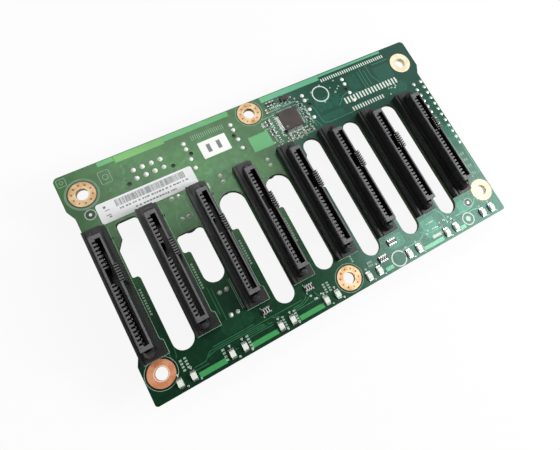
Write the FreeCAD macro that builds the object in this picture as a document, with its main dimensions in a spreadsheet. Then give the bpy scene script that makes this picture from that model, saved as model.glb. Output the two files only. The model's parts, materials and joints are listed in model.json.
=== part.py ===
import FreeCAD, Part
import math
import os
import Sketcher

# A server drive backplane: a green board with a row of tall drive connectors on its front,
# air vents between them, and cable connectors and capacitors on its back.
# Board frame: X along the long edge from its left end, Y up from the lower edge, Z out of the
# front face. Every piece is then placed so that the origin is below the middle of the board,
# level with the lowest point of the back.

VECTOR = FreeCAD.Vector
BAYS = 8
NOSE_TAPER = 30
POWER_CONTACTS = 15
SIGNAL_CONTACTS = 7
SECOND_PORT_CONTACTS = 7
HEADER_COLUMNS = 4
CABLE_CONTACTS = 18
CHIP_SIDE_LEADS = 12
ARRAY_ELEMENTS = 4

SIZES = {
    # board
    "board_thickness": 1.6, "first_bay": 0.1, "bay_pitch": 16.5, "end_margin": 15.97,
    "lower_band": 12.05, "upper_band": 20.65, "left_ear": 1.5, "right_ear": 1.75,
    "lower_ear_height": 12.5, "upper_ear_height": 11.6, "ear_slope": 3.2,
    "upper_corner": 1.6, "lower_corner": 1.0,
    # air vents
    "vent_gap": 0.4, "vent_width": 6.75, "vent_widening": 2.1, "vent_step": 24.6, "vent_shoulder": 34.4,
    "shoulder_slope": 3.0, "vent_soft": 1.3, "vent_start": 8.0, "first_vent_start": 10.4,
    "short_vent_start": 24.2, "fourth_vent_start": 11.4, "vent_end_gap": 0.6, "short_vent_drop": 12.5,
    "third_vent_drop": 6.2, "fourth_vent_drop": 7.3,
    # drive connector
    "contact_pitch": 1.27, "key_gap": 6.35, "slot_margin": 0.95, "slot_rim": 1.2,
    "power_end": 2.95, "signal_end": 4.1, "housing_height": 8.6, "housing_width": 3.7,
    "left_ledge": 1.9, "left_ledge_height": 3.0, "right_ledge": 1.0, "right_ledge_height": 2.0,
    "ledge_groove": 0.5, "tongue_slot": 1.6, "slot_inset": 1.55, "slot_depth": 6.5,
    "cell_width": 0.6, "cell_length": 1.0, "key_length": 5.0, "key_width": 0.9,
    "comb_reach": 0.8, "comb_pitch": 0.8, "comb_cell": 0.42, "comb_depth": 2.4, "comb_rim": 0.15,
    "nose_width": 2.9, "nose_inset": 0.2, "nose_reach": 2.2, "nose_drop": 1.5, "nose_slope": 1.4,
    "nose_cut": 0.85,
    "foot_length": 4.5, "foot_width": 7.3, "edge_break": 0.25,
    "contact_width": 0.44, "contact_thickness": 0.24, "contact_tip_drop": 1.9, "strip_drop": 1.1,
    # screw holes
    "screw_radius": 2.0,
    "left_hole_inset": 4.7, "right_hole_inset": 4.27, "upper_hole_drop": 8.2, "middle_hole_reach": 14.8,
    "middle_hole_drop": 4.15,
    "lower_left_x": 3.5, "lower_left_y": 7.75, "lower_middle_reach": 0.7, "lower_middle_y": 5.45,
    "lower_right_y": 10.0,
    # power header on the back
    "header_pitch": 3.0, "header_reach": 4.8, "header_drop": 7.2, "header_height": 9.9, "header_wall": 1.1,
    "header_cavity_margin": 1.95, "header_floor": 1.7, "pin_side": 0.64, "pin_recess": 1.6,
    "peg_radius": 0.6, "peg_gap": 0.1, "peg_length": 1.2, "header_peg_offset": 2.85,
    "header_peg_drop": 0.9, "latch_width": 4.0, "latch_reach": 0.8, "latch_height": 2.2,
    # cable connectors on the back
    "cage_one_reach": 14.85, "cage_two_reach": 10.95, "cage_width": 17.5, "cage_height": 6.1,
    "cage_depth": 15.4, "cage_metal": 0.3, "core_gap": 0.05, "core_depth": 7.0,
    "blade_width": 14.6, "blade_thickness": 1.1, "blade_recess": 2.2, "cable_pitch": 0.8,
    "strip_width": 0.4, "strip_thickness": 0.1, "tail_width": 0.8, "strip_end_gap": 0.6,
    "cage_peg_offset": 7.75, "cage_peg_drop": 9.6, "cage_window": 3.0, "cage_window_length": 2.2,
    "tail_one_drop": 5.45, "tail_two_drop": 7.5, "tail_three_drop": 11.35, "tail_four_drop": 14.7,
    # capacitors on the back
    "can_radius": 3.15, "can_height": 7.0, "lead_radius": 0.25, "lead_pitch": 2.3,
    "can_column_reach": 12.7, "can_one_y": 13.1, "can_two_y": 20.75, "can_three_drop": 28.75,
    "can_four_drop": 21.25, "can_five_reach": 12.2, "can_five_drop": 21.8, "can_six_reach": 12.55,
    "can_six_drop": 23.3,
    "lead_rise": 0.6,
    # chips on the front
    "chip_side": 7.0, "chip_height": 1.4, "chip_reach": 10.2, "chip_drop": 12.3, "chip_lead_pitch": 0.5,
    "chip_lead_width": 0.22, "chip_lead_reach": 1.0, "chip_lead_thickness": 0.15, "chip_standoff": 0.1,
    "switch_length": 2.9, "switch_width": 1.5, "switch_height": 1.0, "switch_reach": 12.2,
    "switch_drop": 3.9, "switch_lead_width": 0.4, "switch_lead_reach": 0.5,
    # lamps and small parts on the front
    "lamp_length": 3.2, "lamp_width": 1.6, "lamp_base": 0.5, "lamp_height": 1.1, "lamp_cap": 0.5,
    "lamp_y": 2.75, "lamp_offset": 6.95, "lamp_spacing": 4.15,
    "array_length": 3.2, "array_width": 1.6, "array_height": 0.6, "array_foot": 0.3,
    "array_foot_width": 0.45, "array_one_reach": 5.1, "array_one_y": 9.1,
    "array_two_reach": 3.8, "array_three_reach": 3.45, "array_four_reach": 14.2, "array_four_y": 5.6,
    "chip_part_length": 1.6, "chip_part_width": 0.8, "chip_part_height": 0.5, "chip_part_cap": 0.3,
    # labels
    "label_x": 6.4, "label_drop": 13.35, "label_length": 31.7, "label_width": 6.8,
    "label_corner": 0.9, "label_thickness": 0.1, "tag_reach": 10.3, "tag_drop": 7.2, "tag_length": 9.9,
    "tag_width": 6.2, "tag_corner": 0.3,
}


class Size:
    """A length that keeps the spreadsheet formula it comes from beside its present value."""

    def __init__(self, number, text=None):
        self.number = float(number)
        self.text = text if text else repr(float(number))

    @staticmethod
    def of(value):
        return value if isinstance(value, Size) else Size(value)

    def _join(self, sign, other, number):
        return Size(number, f"({self.text} {sign} {Size.of(other).text})")

    def __add__(self, other):
        return self._join("+", other, self.number + Size.of(other).number)

    def __sub__(self, other):
        return self._join("-", other, self.number - Size.of(other).number)

    def __mul__(self, other):
        return self._join("*", other, self.number * Size.of(other).number)

    def __truediv__(self, other):
        return self._join("/", other, self.number / Size.of(other).number)

    def __radd__(self, other):
        return Size.of(other) + self

    def __rsub__(self, other):
        return Size.of(other) - self

    def __rmul__(self, other):
        return Size.of(other) * self

    def __neg__(self):
        return Size.of(0) - self


class Sheet:
    """The spreadsheet of driving sizes; each attribute is the Size of one named cell."""

    def __init__(self, document, sizes):
        self._cells = document.addObject("Spreadsheet::Sheet", "Sizes")
        for row, (name, number) in enumerate(sizes.items(), start=1):
            self._cells.set(f"A{row}", name)
            self._cells.set(f"B{row}", str(number))
            self._cells.setAlias(f"B{row}", name)
            setattr(self, name, Size(number, f"Sizes.{name}"))


DOC = FreeCAD.newDocument("drive_backplane")
S = Sheet(DOC, SIZES)
DOC.recompute()
NODES = []


# ---------------------------------------------------------------- building helpers

def bind(item, prop, size):
    item.setExpression(prop, Size.of(size).text)


def place(item, x=0, y=0, z=0):
    for axis, size in zip("xyz", (x, y, z)):
        bind(item, f".Placement.Base.{axis}", size)


def body(name):
    item = DOC.addObject("PartDesign::Body", name)
    item.Label = name
    return item


class Sketch:
    """A sketch on one of a body's own planes, moved along that plane's normal by height.

    What is drawn is kept until the sketch is closed, and goes into it in one step.
    """

    def __init__(self, owner, role, height=0):
        self.item = owner.newObject("Sketcher::SketchObject", f"{owner.Name}_sketch")
        plane = next(part for part in owner.Origin.OriginFeatures if part.Role == role)
        self.item.AttachmentSupport = [(plane, "")]
        self.item.MapMode = "FlatFace"
        bind(self.item, ".AttachmentOffset.Base.z", height)
        self._shapes, self._constraints, self._formulas = [], [], {}

    def _size(self, kind, *place_and_size):
        *place_of_size, size = place_and_size
        size = Size.of(size)
        self._formulas[len(self._constraints)] = size.text
        self._constraints.append(Sketcher.Constraint(kind, *place_of_size, size.number))

    def _point(self, element, point, x, y):
        self._size("DistanceX", -1, 1, element, point, x)
        self._size("DistanceY", -1, 1, element, point, y)

    def outline(self, corners, arcs=None):
        """A closed run through the corners, counter-clockwise where it has arcs.

        The run is straight, except from each corner whose index is in arcs: there it goes on as
        an arc about the centre that arcs gives.
        """
        first, arcs = len(self._shapes), arcs or {}
        spots = [VECTOR(Size.of(x).number, Size.of(y).number, 0) for x, y in corners]
        count = len(spots)
        for index, spot in enumerate(spots):
            following = spots[(index + 1) % count]
            if index in arcs:
                centre = VECTOR(arcs[index][0].number, arcs[index][1].number, 0)
                start, stop = (math.atan2(end.y - centre.y, end.x - centre.x)
                               for end in (spot, following))
                whole = Part.Circle(centre, VECTOR(0, 0, 1), centre.distanceToPoint(spot))
                stop = stop if stop > start else stop + math.tau
                self._shapes.append(Part.ArcOfCircle(whole, start, stop))
            else:
                self._shapes.append(Part.LineSegment(spot, following))
        for index, (x, y) in enumerate(corners):
            following = first + (index + 1) % count
            self._constraints.append(Sketcher.Constraint("Coincident", first + index, 2, following, 1))
            self._point(first + index, 1, x, y)
        for index, (_, y) in arcs.items():
            self._size("DistanceY", -1, 1, first + index, 3, y)

    def rectangle(self, x0, y0, x1, y1):
        self.outline([(x0, y0), (x1, y0), (x1, y1), (x0, y1)])

    def square(self, x, y, half):
        self.rectangle(x - half, y - half, x + half, y + half)

    def circle(self, x, y, radius):
        element, radius = len(self._shapes), Size.of(radius)
        centre = VECTOR(Size.of(x).number, Size.of(y).number, 0)
        self._shapes.append(Part.Circle(centre, VECTOR(0, 0, 1), radius.number))
        self._point(element, 3, x, y)
        self._size("Radius", element, radius)

    def closed(self):
        """The finished sketch, with every size tied to its formula."""
        self.item.addGeometry(self._shapes)
        self.item.addConstraint(self._constraints)
        for index, text in self._formulas.items():
            self.item.setExpression(f"Constraints[{index}]", text)
        return self.item


def pad(owner, profile, length, backwards=False):
    item = owner.newObject("PartDesign::Pad", f"{owner.Name}_pad")
    item.Profile = profile.closed()
    bind(item, "Length", length)
    item.Reversed = backwards
    return item


def pocket(owner, profile, depth=None, backwards=False):
    item = owner.newObject("PartDesign::Pocket", f"{owner.Name}_pocket")
    item.Profile = profile.closed()
    item.Reversed = backwards
    if depth is None:
        item.Type = "ThroughAll"
    else:
        bind(item, "Length", depth)
    return item


def repeat_along_y(owner, feature, pitch, count):
    item = owner.newObject("PartDesign::LinearPattern", f"{owner.Name}_row")
    item.Originals = [feature]
    axis = next(part for part in owner.Origin.OriginFeatures if part.Role == "Y_Axis")
    item.Direction = (axis, [""])
    item.Occurrences = count
    bind(item, "Length", pitch * (count - 1))
    owner.Tip = item
    return item


def upright_edges(feature, spots, reach=0.05):
    """Names of the edges along Z that stand at the given spots."""
    names = []
    for index, edge in enumerate(feature.Shape.Edges, start=1):
        ends = [vertex.Point for vertex in edge.Vertexes]
        if len(ends) != 2 or abs(ends[0].z - ends[1].z) < reach:
            continue
        for x, y in spots:
            spot = (Size.of(x).number, Size.of(y).number)
            if all(abs(end.x - spot[0]) < reach and abs(end.y - spot[1]) < reach for end in ends):
                names.append(f"Edge{index}")
    return names


def soften(owner, spots, radius):
    """Round the upright edges of the body at the given spots."""
    DOC.recompute()
    base = owner.Tip
    item = owner.newObject("PartDesign::Fillet", f"{owner.Name}_fillet")
    item.Base = (base, upright_edges(base, spots))
    bind(item, "Radius", radius)
    return item


def taper(owner, spots, cut):
    """Cut the upright edges of the body at the given spots flat."""
    DOC.recompute()
    base = owner.Tip
    item = owner.newObject("PartDesign::Chamfer", f"{owner.Name}_chamfer")
    item.Base = (base, upright_edges(base, spots))
    bind(item, "Size", cut)
    return item


def block(name, x0, y0, z0, length, width, height):
    item = DOC.addObject("Part::Box", name)
    for prop, size in (("Length", length), ("Width", width), ("Height", height)):
        bind(item, prop, size)
    place(item, x0, y0, z0)
    return item


def group(name, members):
    item = DOC.addObject("Part::Compound", name)
    item.Links = members
    return item


def copy_at(master, name, x, y, z=0, turn=0):
    """The master again, moved and turned about Z."""
    item = group(name, [master])
    item.Placement = FreeCAD.Placement(VECTOR(0, 0, 0), FreeCAD.Rotation(VECTOR(0, 0, 1), turn))
    place(item, x, y, z)
    return item


def spread(name, master, spots):
    """One group that holds the master at each spot."""
    copies = [copy_at(master, f"{name}_{index}", *spot) for index, spot in enumerate(spots, start=1)]
    return group(name, copies)


def node(item, name):
    """Hand a finished piece in under its own name, moved to the object's frame."""
    finished = group(f"{name}_piece", [item])
    finished.Label = name
    place(finished, -middle_x, -middle_y, front_z)
    NODES.append(finished)


# ---------------------------------------------------------------- sizes that follow from others

contact_span = (POWER_CONTACTS - 1 + SIGNAL_CONTACTS - 1) * S.contact_pitch + S.key_gap
slot_length = contact_span + 2 * S.slot_margin
rim_length = slot_length + 2 * S.slot_rim
connector_length = rim_length + S.power_end + S.signal_end
connector_top = S.lower_band + connector_length
board_height = connector_top + S.upper_band
board_length = S.first_bay + (BAYS - 1) * S.bay_pitch + S.end_margin
middle_x = (board_length + S.right_ear - S.left_ear) / 2
middle_y = board_height / 2
front_z = S.header_height + S.board_thickness
back = -S.board_thickness

wall_left = S.left_ledge
wall_right = wall_left + S.housing_width
slot_left = wall_left + S.slot_inset
slot_right = slot_left + S.tongue_slot
base_width = wall_right + S.right_ledge
rim_start = S.power_end
slot_start = rim_start + S.slot_rim
slot_end = slot_start + slot_length
rim_end = slot_end + S.slot_rim
first_power = slot_start + S.slot_margin
last_power = first_power + (POWER_CONTACTS - 1) * S.contact_pitch
first_signal = last_power + S.key_gap
key_middle = last_power + S.key_gap / 2


def bay_x(bay):
    return S.first_bay + bay * S.bay_pitch


def from_top(drop):
    return board_height - drop


header_columns = [bay_x(1) + S.header_reach + column * S.header_pitch for column in range(HEADER_COLUMNS)]
header_rows = [from_top(S.header_drop), from_top(S.header_drop) - S.header_pitch]
header_y = header_rows[0] - S.header_pitch / 2
header_middle = header_columns[0] + (HEADER_COLUMNS - 1) * S.header_pitch / 2
header_pins = [(column, row) for column in header_columns for row in header_rows]
header_pegs = [(header_middle - peg_side * (1.5 * S.header_pitch + S.header_peg_offset),
                header_rows[1] - S.header_peg_drop) for peg_side in (1, -1)]
cages = [bay_x(2) + S.cage_one_reach, bay_x(5) + S.cage_two_reach]
tail_drops = [S.tail_one_drop, S.tail_two_drop, S.tail_three_drop, S.tail_four_drop]
tail_reach = S.cage_width / 2 - S.cage_metal / 2
tail_spots = [(side * tail_reach, -drop) for side in (-1, 1) for drop in tail_drops]
cage_tails = [(centre + x, board_height + y) for centre in cages for x, y in tail_spots]
peg_spots = [(side * S.cage_peg_offset, -S.cage_peg_drop) for side in (-1, 1)]
cage_pegs = [(centre + x, board_height + y) for centre in cages for x, y in peg_spots]
chip_x = bay_x(4) + S.chip_reach
switch_x = bay_x(4) + S.switch_reach
tag_x = bay_x(2) + S.tag_reach
can_column = bay_x(1) + S.can_column_reach
cans = [
    (can_column, S.can_one_y, 0), (can_column, S.can_two_y, 0),
    (can_column, from_top(S.can_three_drop), 0), (can_column, from_top(S.can_four_drop), 0),
    (bay_x(2) + S.can_five_reach, from_top(S.can_five_drop), 90),
    (bay_x(3) + S.can_six_reach, from_top(S.can_six_drop), 90),
]
can_leads = []
for can_x, can_y, can_turn in cans:
    for lead_side in (-1, 1):
        along = lead_side * S.lead_pitch / 2
        can_leads.append((can_x + along, can_y) if can_turn == 0 else (can_x, can_y + along))
screw_holes = [
    (S.left_hole_inset, from_top(S.upper_hole_drop)),
    (board_length - S.right_hole_inset, from_top(S.upper_hole_drop)),
    (bay_x(3) + S.middle_hole_reach, from_top(S.middle_hole_drop)),
    (S.lower_left_x, S.lower_left_y), (bay_x(4) + S.lower_middle_reach, S.lower_middle_y),
    (board_length - S.right_hole_inset, S.lower_right_y),
]


# ---------------------------------------------------------------- board

def vent_outline(bay):
    """Corners of the vent to the right of a bay, its arcs, its square ends and its step."""
    right = bay_x(bay + 1) - S.vent_gap
    left = right - S.vent_width
    wide = left - S.vent_widening
    step = S.lower_band + S.vent_step
    shoulder = S.lower_band + S.vent_shoulder
    start = {0: S.first_vent_start, 1: S.short_vent_start, 3: S.fourth_vent_start}.get(bay, S.vent_start)
    drop = {1: S.short_vent_drop, 2: S.third_vent_drop, 3: S.fourth_vent_drop}.get(bay, S.vent_end_gap)
    end = connector_top - drop
    round_y = start + S.vent_width / 2
    corners = [(left, round_y), (right, round_y)]
    arcs = {0: ((left + right) / 2, round_y)}
    ends = []
    if bay in (0, 1):
        inner = wide if bay == 1 else left
        ends = [(right, end), (inner, end)]
        corners += ends
    else:
        inner = wide if bay in (2, 3) else left
        arc_y = end - (right - inner) / 2
        corners += [(right, arc_y), (inner, arc_y)]
        arcs[2] = ((right + inner) / 2, arc_y)
    if bay not in (1, 2, 3):
        corners += [(left, shoulder + S.shoulder_slope), (wide, shoulder)]
    corners += [(wide, step), (left, step)]
    return corners, arcs, ends, [(wide, step), (left, step)]


def make_board():
    plate = body("board_plate")
    left, right = -S.left_ear, board_length + S.right_ear
    ear_foot = from_top(S.upper_ear_height)
    edge = Sketch(plate, "XY_Plane")
    edge.outline([
        (left, 0), (board_length, 0), (board_length, ear_foot - S.ear_slope), (right, ear_foot),
        (right, board_height), (left, board_height), (left, ear_foot), (0, ear_foot - S.ear_slope),
        (0, S.lower_ear_height + S.ear_slope), (left, S.lower_ear_height)])
    pad(plate, edge, S.board_thickness, backwards=True)
    vents, square_ends, steps = Sketch(plate, "XY_Plane"), [], []
    for bay in range(BAYS - 1):
        corners, arcs, ends, step = vent_outline(bay)
        vents.outline(corners, arcs)
        square_ends += ends
        steps += step
    pocket(plate, vents)
    soften(plate, [(left, board_height), (right, board_height)], S.upper_corner)
    soften(plate, [(left, 0), (board_length, 0)], S.lower_corner)
    soften(plate, square_ends, S.vent_soft)
    soften(plate, steps, S.vent_widening * 0.4)
    drills = Sketch(plate, "XY_Plane")
    for x, y in screw_holes:
        drills.circle(x, y, S.screw_radius)
    for x, y in header_pegs + cage_pegs:
        drills.circle(x, y, S.peg_radius + S.peg_gap)
    pocket(plate, drills)
    for spots, half in ((header_pins, S.pin_side / 2), (can_leads, S.lead_radius)):
        lead_holes = Sketch(plate, "XY_Plane")
        for x, y in spots:
            lead_holes.square(x, y, half)
        pocket(plate, lead_holes)
    for row in (cage_tails[:len(tail_spots)], cage_tails[len(tail_spots):]):
        tail_slots = Sketch(plate, "XY_Plane")
        for x, y in row:
            tail_slots.rectangle(x - S.cage_metal / 2, y - S.tail_width / 2,
                                 x + S.cage_metal / 2, y + S.tail_width / 2)
        pocket(plate, tail_slots)
    return plate


# ---------------------------------------------------------------- drive connector

def make_drive_housing():
    """Tall moulded housing: ledges, tongue slot, contact cells, key, comb and guide noses."""
    housing = body("drive_housing")
    section = Sketch(housing, "XZ_Plane")
    groove = (wall_left - S.ledge_groove) / 2
    low = S.left_ledge_height - S.ledge_groove
    section.outline([
        (0, 0), (base_width, 0), (base_width, S.right_ledge_height), (wall_right, S.right_ledge_height),
        (wall_right, S.left_ledge_height), (wall_left, S.left_ledge_height),
        (groove + S.ledge_groove, S.left_ledge_height), (groove + S.ledge_groove, low),
        (groove, low), (groove, S.left_ledge_height), (0, S.left_ledge_height)])
    pad(housing, section, connector_length, backwards=True)
    wall = Sketch(housing, "XZ_Plane", -rim_start)
    wall.outline([
        (wall_left, S.right_ledge_height), (wall_right, S.right_ledge_height),
        (wall_right, S.housing_height - S.edge_break), (wall_right - S.edge_break, S.housing_height),
        (wall_left + S.edge_break, S.housing_height), (wall_left, S.housing_height - S.edge_break)])
    pad(housing, wall, rim_length, backwards=True)
    foot = Sketch(housing, "XY_Plane")
    foot.rectangle(wall_left, 0, S.foot_width, S.foot_length)
    pad(housing, foot, S.right_ledge_height)
    comb_half = (SECOND_PORT_CONTACTS - 1) * S.comb_pitch / 2 + S.comb_cell / 2 + S.comb_rim
    comb = Sketch(housing, "XY_Plane")
    comb.rectangle(wall_right - S.edge_break, key_middle - comb_half,
                   wall_right + S.comb_reach, key_middle + comb_half)
    pad(housing, comb, S.housing_height)
    nose_left, nose_right = wall_left + S.nose_inset, wall_left + S.nose_inset + S.nose_width
    shoulder = S.housing_height - S.nose_drop - S.nose_slope
    for side, root in ((-1, rim_start), (1, rim_end)):
        tip, inside = root + side * S.nose_reach, root - side * S.edge_break
        bend = tip - side * S.nose_cut
        for start, height, angle in ((0, shoulder, 0), (shoulder, S.nose_slope, -NOSE_TAPER)):
            nose = Sketch(housing, "XY_Plane", start)
            nose.outline([(nose_left, inside), (nose_left, bend), (nose_left + S.nose_cut, tip),
                          (nose_right - S.nose_cut, tip), (nose_right, bend), (nose_right, inside)])
            pad(housing, nose, height).TaperAngle = angle
    slot = Sketch(housing, "XY_Plane", S.housing_height)
    slot.rectangle(slot_left, slot_start, slot_right, slot_end)
    pocket(housing, slot, S.slot_depth)
    key = Sketch(housing, "XY_Plane", S.housing_height)
    key.rectangle(slot_left - S.key_width, key_middle - S.key_length / 2,
                  slot_left + S.contact_thickness, key_middle + S.key_length / 2)
    pocket(housing, key, S.slot_depth)
    for first, count in ((first_power, POWER_CONTACTS), (first_signal, SIGNAL_CONTACTS)):
        cell = Sketch(housing, "XY_Plane", S.housing_height)
        cell.rectangle(slot_left - S.cell_length, first - S.cell_width / 2,
                       slot_left + S.contact_thickness, first + S.cell_width / 2)
        repeat_along_y(housing, pocket(housing, cell, S.slot_depth), S.contact_pitch, count)
    first = key_middle - (SECOND_PORT_CONTACTS - 1) * S.comb_pitch / 2
    tooth = Sketch(housing, "XY_Plane", S.housing_height)
    tooth.rectangle(slot_right - S.contact_thickness, first - S.comb_cell / 2,
                    wall_right + S.comb_reach + S.edge_break, first + S.comb_cell / 2)
    repeat_along_y(housing, pocket(housing, tooth, S.comb_depth), S.comb_pitch, SECOND_PORT_CONTACTS)
    return housing


def make_spring():
    """One contact blade: it leans from the back of its cell until its tip stands in the slot."""
    spring = body("spring")
    side = Sketch(spring, "XZ_Plane")
    floor = S.housing_height - S.slot_depth
    tip = S.housing_height - S.contact_tip_drop
    root = slot_left - S.cell_length
    reach = slot_left + S.contact_thickness / 2
    side.outline([(root, floor), (root + S.contact_thickness, floor),
                  (reach, tip), (reach - S.contact_thickness, tip)])
    pad(spring, side, S.contact_width)
    return spring


def make_comb_strip():
    """One fine contact of the second port, flat in its tooth gap."""
    strip = body("comb_strip")
    face = Sketch(strip, "XY_Plane")
    face.rectangle(slot_right, -S.comb_cell / 2, slot_right + S.contact_thickness, S.comb_cell / 2)
    pad(strip, face, S.comb_depth - S.strip_drop)
    return strip


def make_drive_contacts(spring, strip):
    floor_half = S.contact_width / 2
    spots = []
    for first, count in ((first_power, POWER_CONTACTS), (first_signal, SIGNAL_CONTACTS)):
        spots += [(0, first + index * S.contact_pitch + floor_half, 0) for index in range(count)]
    springs = spread("springs", spring, spots)
    first = key_middle - (SECOND_PORT_CONTACTS - 1) * S.comb_pitch / 2
    strips = spread("strips", strip, [
        (0, first + index * S.comb_pitch, S.housing_height - S.comb_depth)
        for index in range(SECOND_PORT_CONTACTS)])
    return group("contacts_of_one_connector", [springs, strips])


# ---------------------------------------------------------------- power header on the back

def make_header():
    header = body("header")
    half_length = 1.5 * S.header_pitch + S.header_cavity_margin
    half_width = S.header_pitch / 2 + S.header_cavity_margin
    wall = S.header_wall
    shell = Sketch(header, "XY_Plane", back)
    shell.rectangle(-half_length - wall, -half_width - wall, half_length + wall, half_width + wall)
    pad(header, shell, S.header_height, backwards=True)
    taper(header, [(x * (half_length + wall), y * (half_width + wall)) for x in (-1, 1) for y in (-1, 1)],
          wall * 0.5)
    cavity = Sketch(header, "XY_Plane", back - S.header_floor)
    cavity.rectangle(-half_length, -half_width, half_length, half_width)
    pocket(header, cavity)
    seats = Sketch(header, "XY_Plane", back)
    for x, y in header_pins:
        seats.square(x - header_middle, y - header_y, S.pin_side / 2)
    pocket(header, seats, S.header_floor)
    latch = Sketch(header, "YZ_Plane", -S.latch_width / 2)
    outer = half_width + wall
    mouth = back - S.header_height
    inner, end = outer - wall / 2, mouth + wall + S.latch_height
    latch.outline([(inner, mouth + wall), (outer + S.latch_reach, mouth + wall + S.latch_reach),
                   (outer + S.latch_reach, end), (inner, end)])
    pad(header, latch, S.latch_width)
    peg_x = 1.5 * S.header_pitch + S.header_peg_offset
    pegs = Sketch(header, "XY_Plane", back)
    for side in (-1, 1):
        pegs.circle(side * peg_x, -S.header_pitch / 2 - S.header_peg_drop, S.peg_radius)
    pad(header, pegs, S.peg_length)
    return header


def make_header_pin():
    side = S.pin_side
    start = back - S.header_height + S.pin_recess
    return block("header_pin", -side / 2, -side / 2, start, side, side, S.lead_rise - start)


# ---------------------------------------------------------------- cable connectors on the back

def make_cage():
    """Folded steel shell, open towards the board's upper edge, with solder tails and latch windows."""
    cage = body("cage")
    half, metal, height = S.cage_width / 2, S.cage_metal, S.cage_height
    section = Sketch(cage, "XZ_Plane", S.cage_depth)
    section.rectangle(-half, back - height, half, back)
    pad(cage, section, S.cage_depth, backwards=True)
    inside = Sketch(cage, "XZ_Plane", S.cage_depth)
    inside.rectangle(-half + metal, back - height + metal, half - metal, back - metal)
    pocket(cage, inside)
    windows = Sketch(cage, "XY_Plane", back - height)
    for side in (-1, 1):
        near, far = side * S.cage_window / 2, side * S.cage_window * 1.5
        low, high = (near, far) if side > 0 else (far, near)
        windows.rectangle(low, -S.tail_three_drop + S.cage_window_length, high,
                          -S.tail_three_drop + 2 * S.cage_window_length)
    pocket(cage, windows, metal, backwards=True)
    peg_holes = Sketch(cage, "XY_Plane", back)
    for x, y in peg_spots:
        peg_holes.circle(x, y, S.peg_radius)
    pocket(cage, peg_holes, metal)
    tails = Sketch(cage, "XY_Plane", back)
    for x, y in tail_spots:
        tails.rectangle(x - metal / 2, y - S.tail_width / 2, x + metal / 2, y + S.tail_width / 2)
    pad(cage, tails, S.board_thickness)
    return cage


def make_cage_core():
    """Moulded core inside the shell: a block at the back, two pegs and the contact blade."""
    core = body("cage_core")
    half = S.cage_width / 2 - S.cage_metal - S.core_gap
    top, low = back - S.cage_metal - S.core_gap, back - S.cage_height + S.cage_metal + S.core_gap
    section = Sketch(core, "XZ_Plane", S.cage_depth)
    section.rectangle(-half, low, half, top)
    pad(core, section, S.core_depth, backwards=True)
    middle = (top + low) / 2
    blade = Sketch(core, "XZ_Plane", S.cage_depth)
    blade.rectangle(-S.blade_width / 2, middle - S.blade_thickness / 2,
                    S.blade_width / 2, middle + S.blade_thickness / 2)
    pad(core, blade, S.cage_depth - S.blade_recess, backwards=True)
    pegs = Sketch(core, "XY_Plane", top - S.core_gap)
    for x, y in peg_spots:
        pegs.circle(x, y, S.peg_radius)
    pad(core, pegs, S.cage_metal + 2 * S.core_gap + S.peg_length)
    return core


def make_cable_contacts():
    """Two rows of flat contacts on the blade, above and below."""
    top, low = back - S.cage_metal - S.core_gap, back - S.cage_height + S.cage_metal + S.core_gap
    middle = (top + low) / 2
    rear = S.core_depth - S.cage_depth
    length = S.cage_depth - S.blade_recess - S.core_depth - S.strip_end_gap
    strips = []
    for index in range(CABLE_CONTACTS):
        x = (index - (CABLE_CONTACTS - 1) / 2) * S.cable_pitch - S.strip_width / 2
        for face, z in (("front", middle + S.blade_thickness / 2),
                        ("rear", middle - S.blade_thickness / 2 - S.strip_thickness)):
            strips.append(block(f"strip_{face}_{index}", x, rear, z,
                                S.strip_width, length, S.strip_thickness))
    return group("strips_of_one_cage", strips)


# ---------------------------------------------------------------- capacitors on the back

def make_can():
    """Round aluminium can standing on the back."""
    can = body("can")
    face = Sketch(can, "XY_Plane", back)
    face.circle(0, 0, S.can_radius)
    pad(can, face, S.can_height, backwards=True)
    return can


def make_lead():
    side = 2 * S.lead_radius
    return block("lead", -S.lead_radius, -S.lead_radius, back, side, side,
                 S.board_thickness + S.lead_rise)


# ---------------------------------------------------------------- chips, lamps and small parts

def make_chip():
    chip = body("chip")
    half = S.chip_side / 2
    face = Sketch(chip, "XY_Plane", S.chip_standoff)
    face.rectangle(-half, -half, half, half)
    pad(chip, face, S.chip_height)
    dimple = Sketch(chip, "XY_Plane", S.chip_standoff + S.chip_height)
    dimple.circle(-half * 0.7, -half * 0.7, S.chip_side / 14)
    pocket(chip, dimple, S.chip_standoff)
    return chip


def make_chip_lead():
    """Sloping lead, standing out along +X from the edge of the chip down to the board."""
    lead = body("chip_lead")
    half, reach, metal = S.chip_side / 2, S.chip_lead_reach, S.chip_lead_thickness
    shoulder = S.chip_standoff + S.chip_height / 2
    profile = Sketch(lead, "XZ_Plane", -S.chip_lead_width / 2)
    profile.outline([(half, shoulder), (half + reach, metal), (half + reach, 0),
                     (half, shoulder - metal)])
    pad(lead, profile, S.chip_lead_width)
    return lead


def make_chip_leads(lead):
    rows = []
    for index in range(CHIP_SIDE_LEADS):
        y = (index - (CHIP_SIDE_LEADS - 1) / 2) * S.chip_lead_pitch
        rows.append((0, y))
    side = spread("lead_side", lead, rows)
    return group("lead_sides", [copy_at(side, f"lead_side_{turn}", 0, 0, 0, turn)
                                for turn in (0, 90, 180, 270)])


def make_switch():
    half_length, half_width = S.switch_length / 2, S.switch_width / 2
    return block("switch_block", switch_x - half_length, from_top(S.switch_drop) - half_width,
                 S.chip_standoff, S.switch_length, S.switch_width, S.switch_height)


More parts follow.
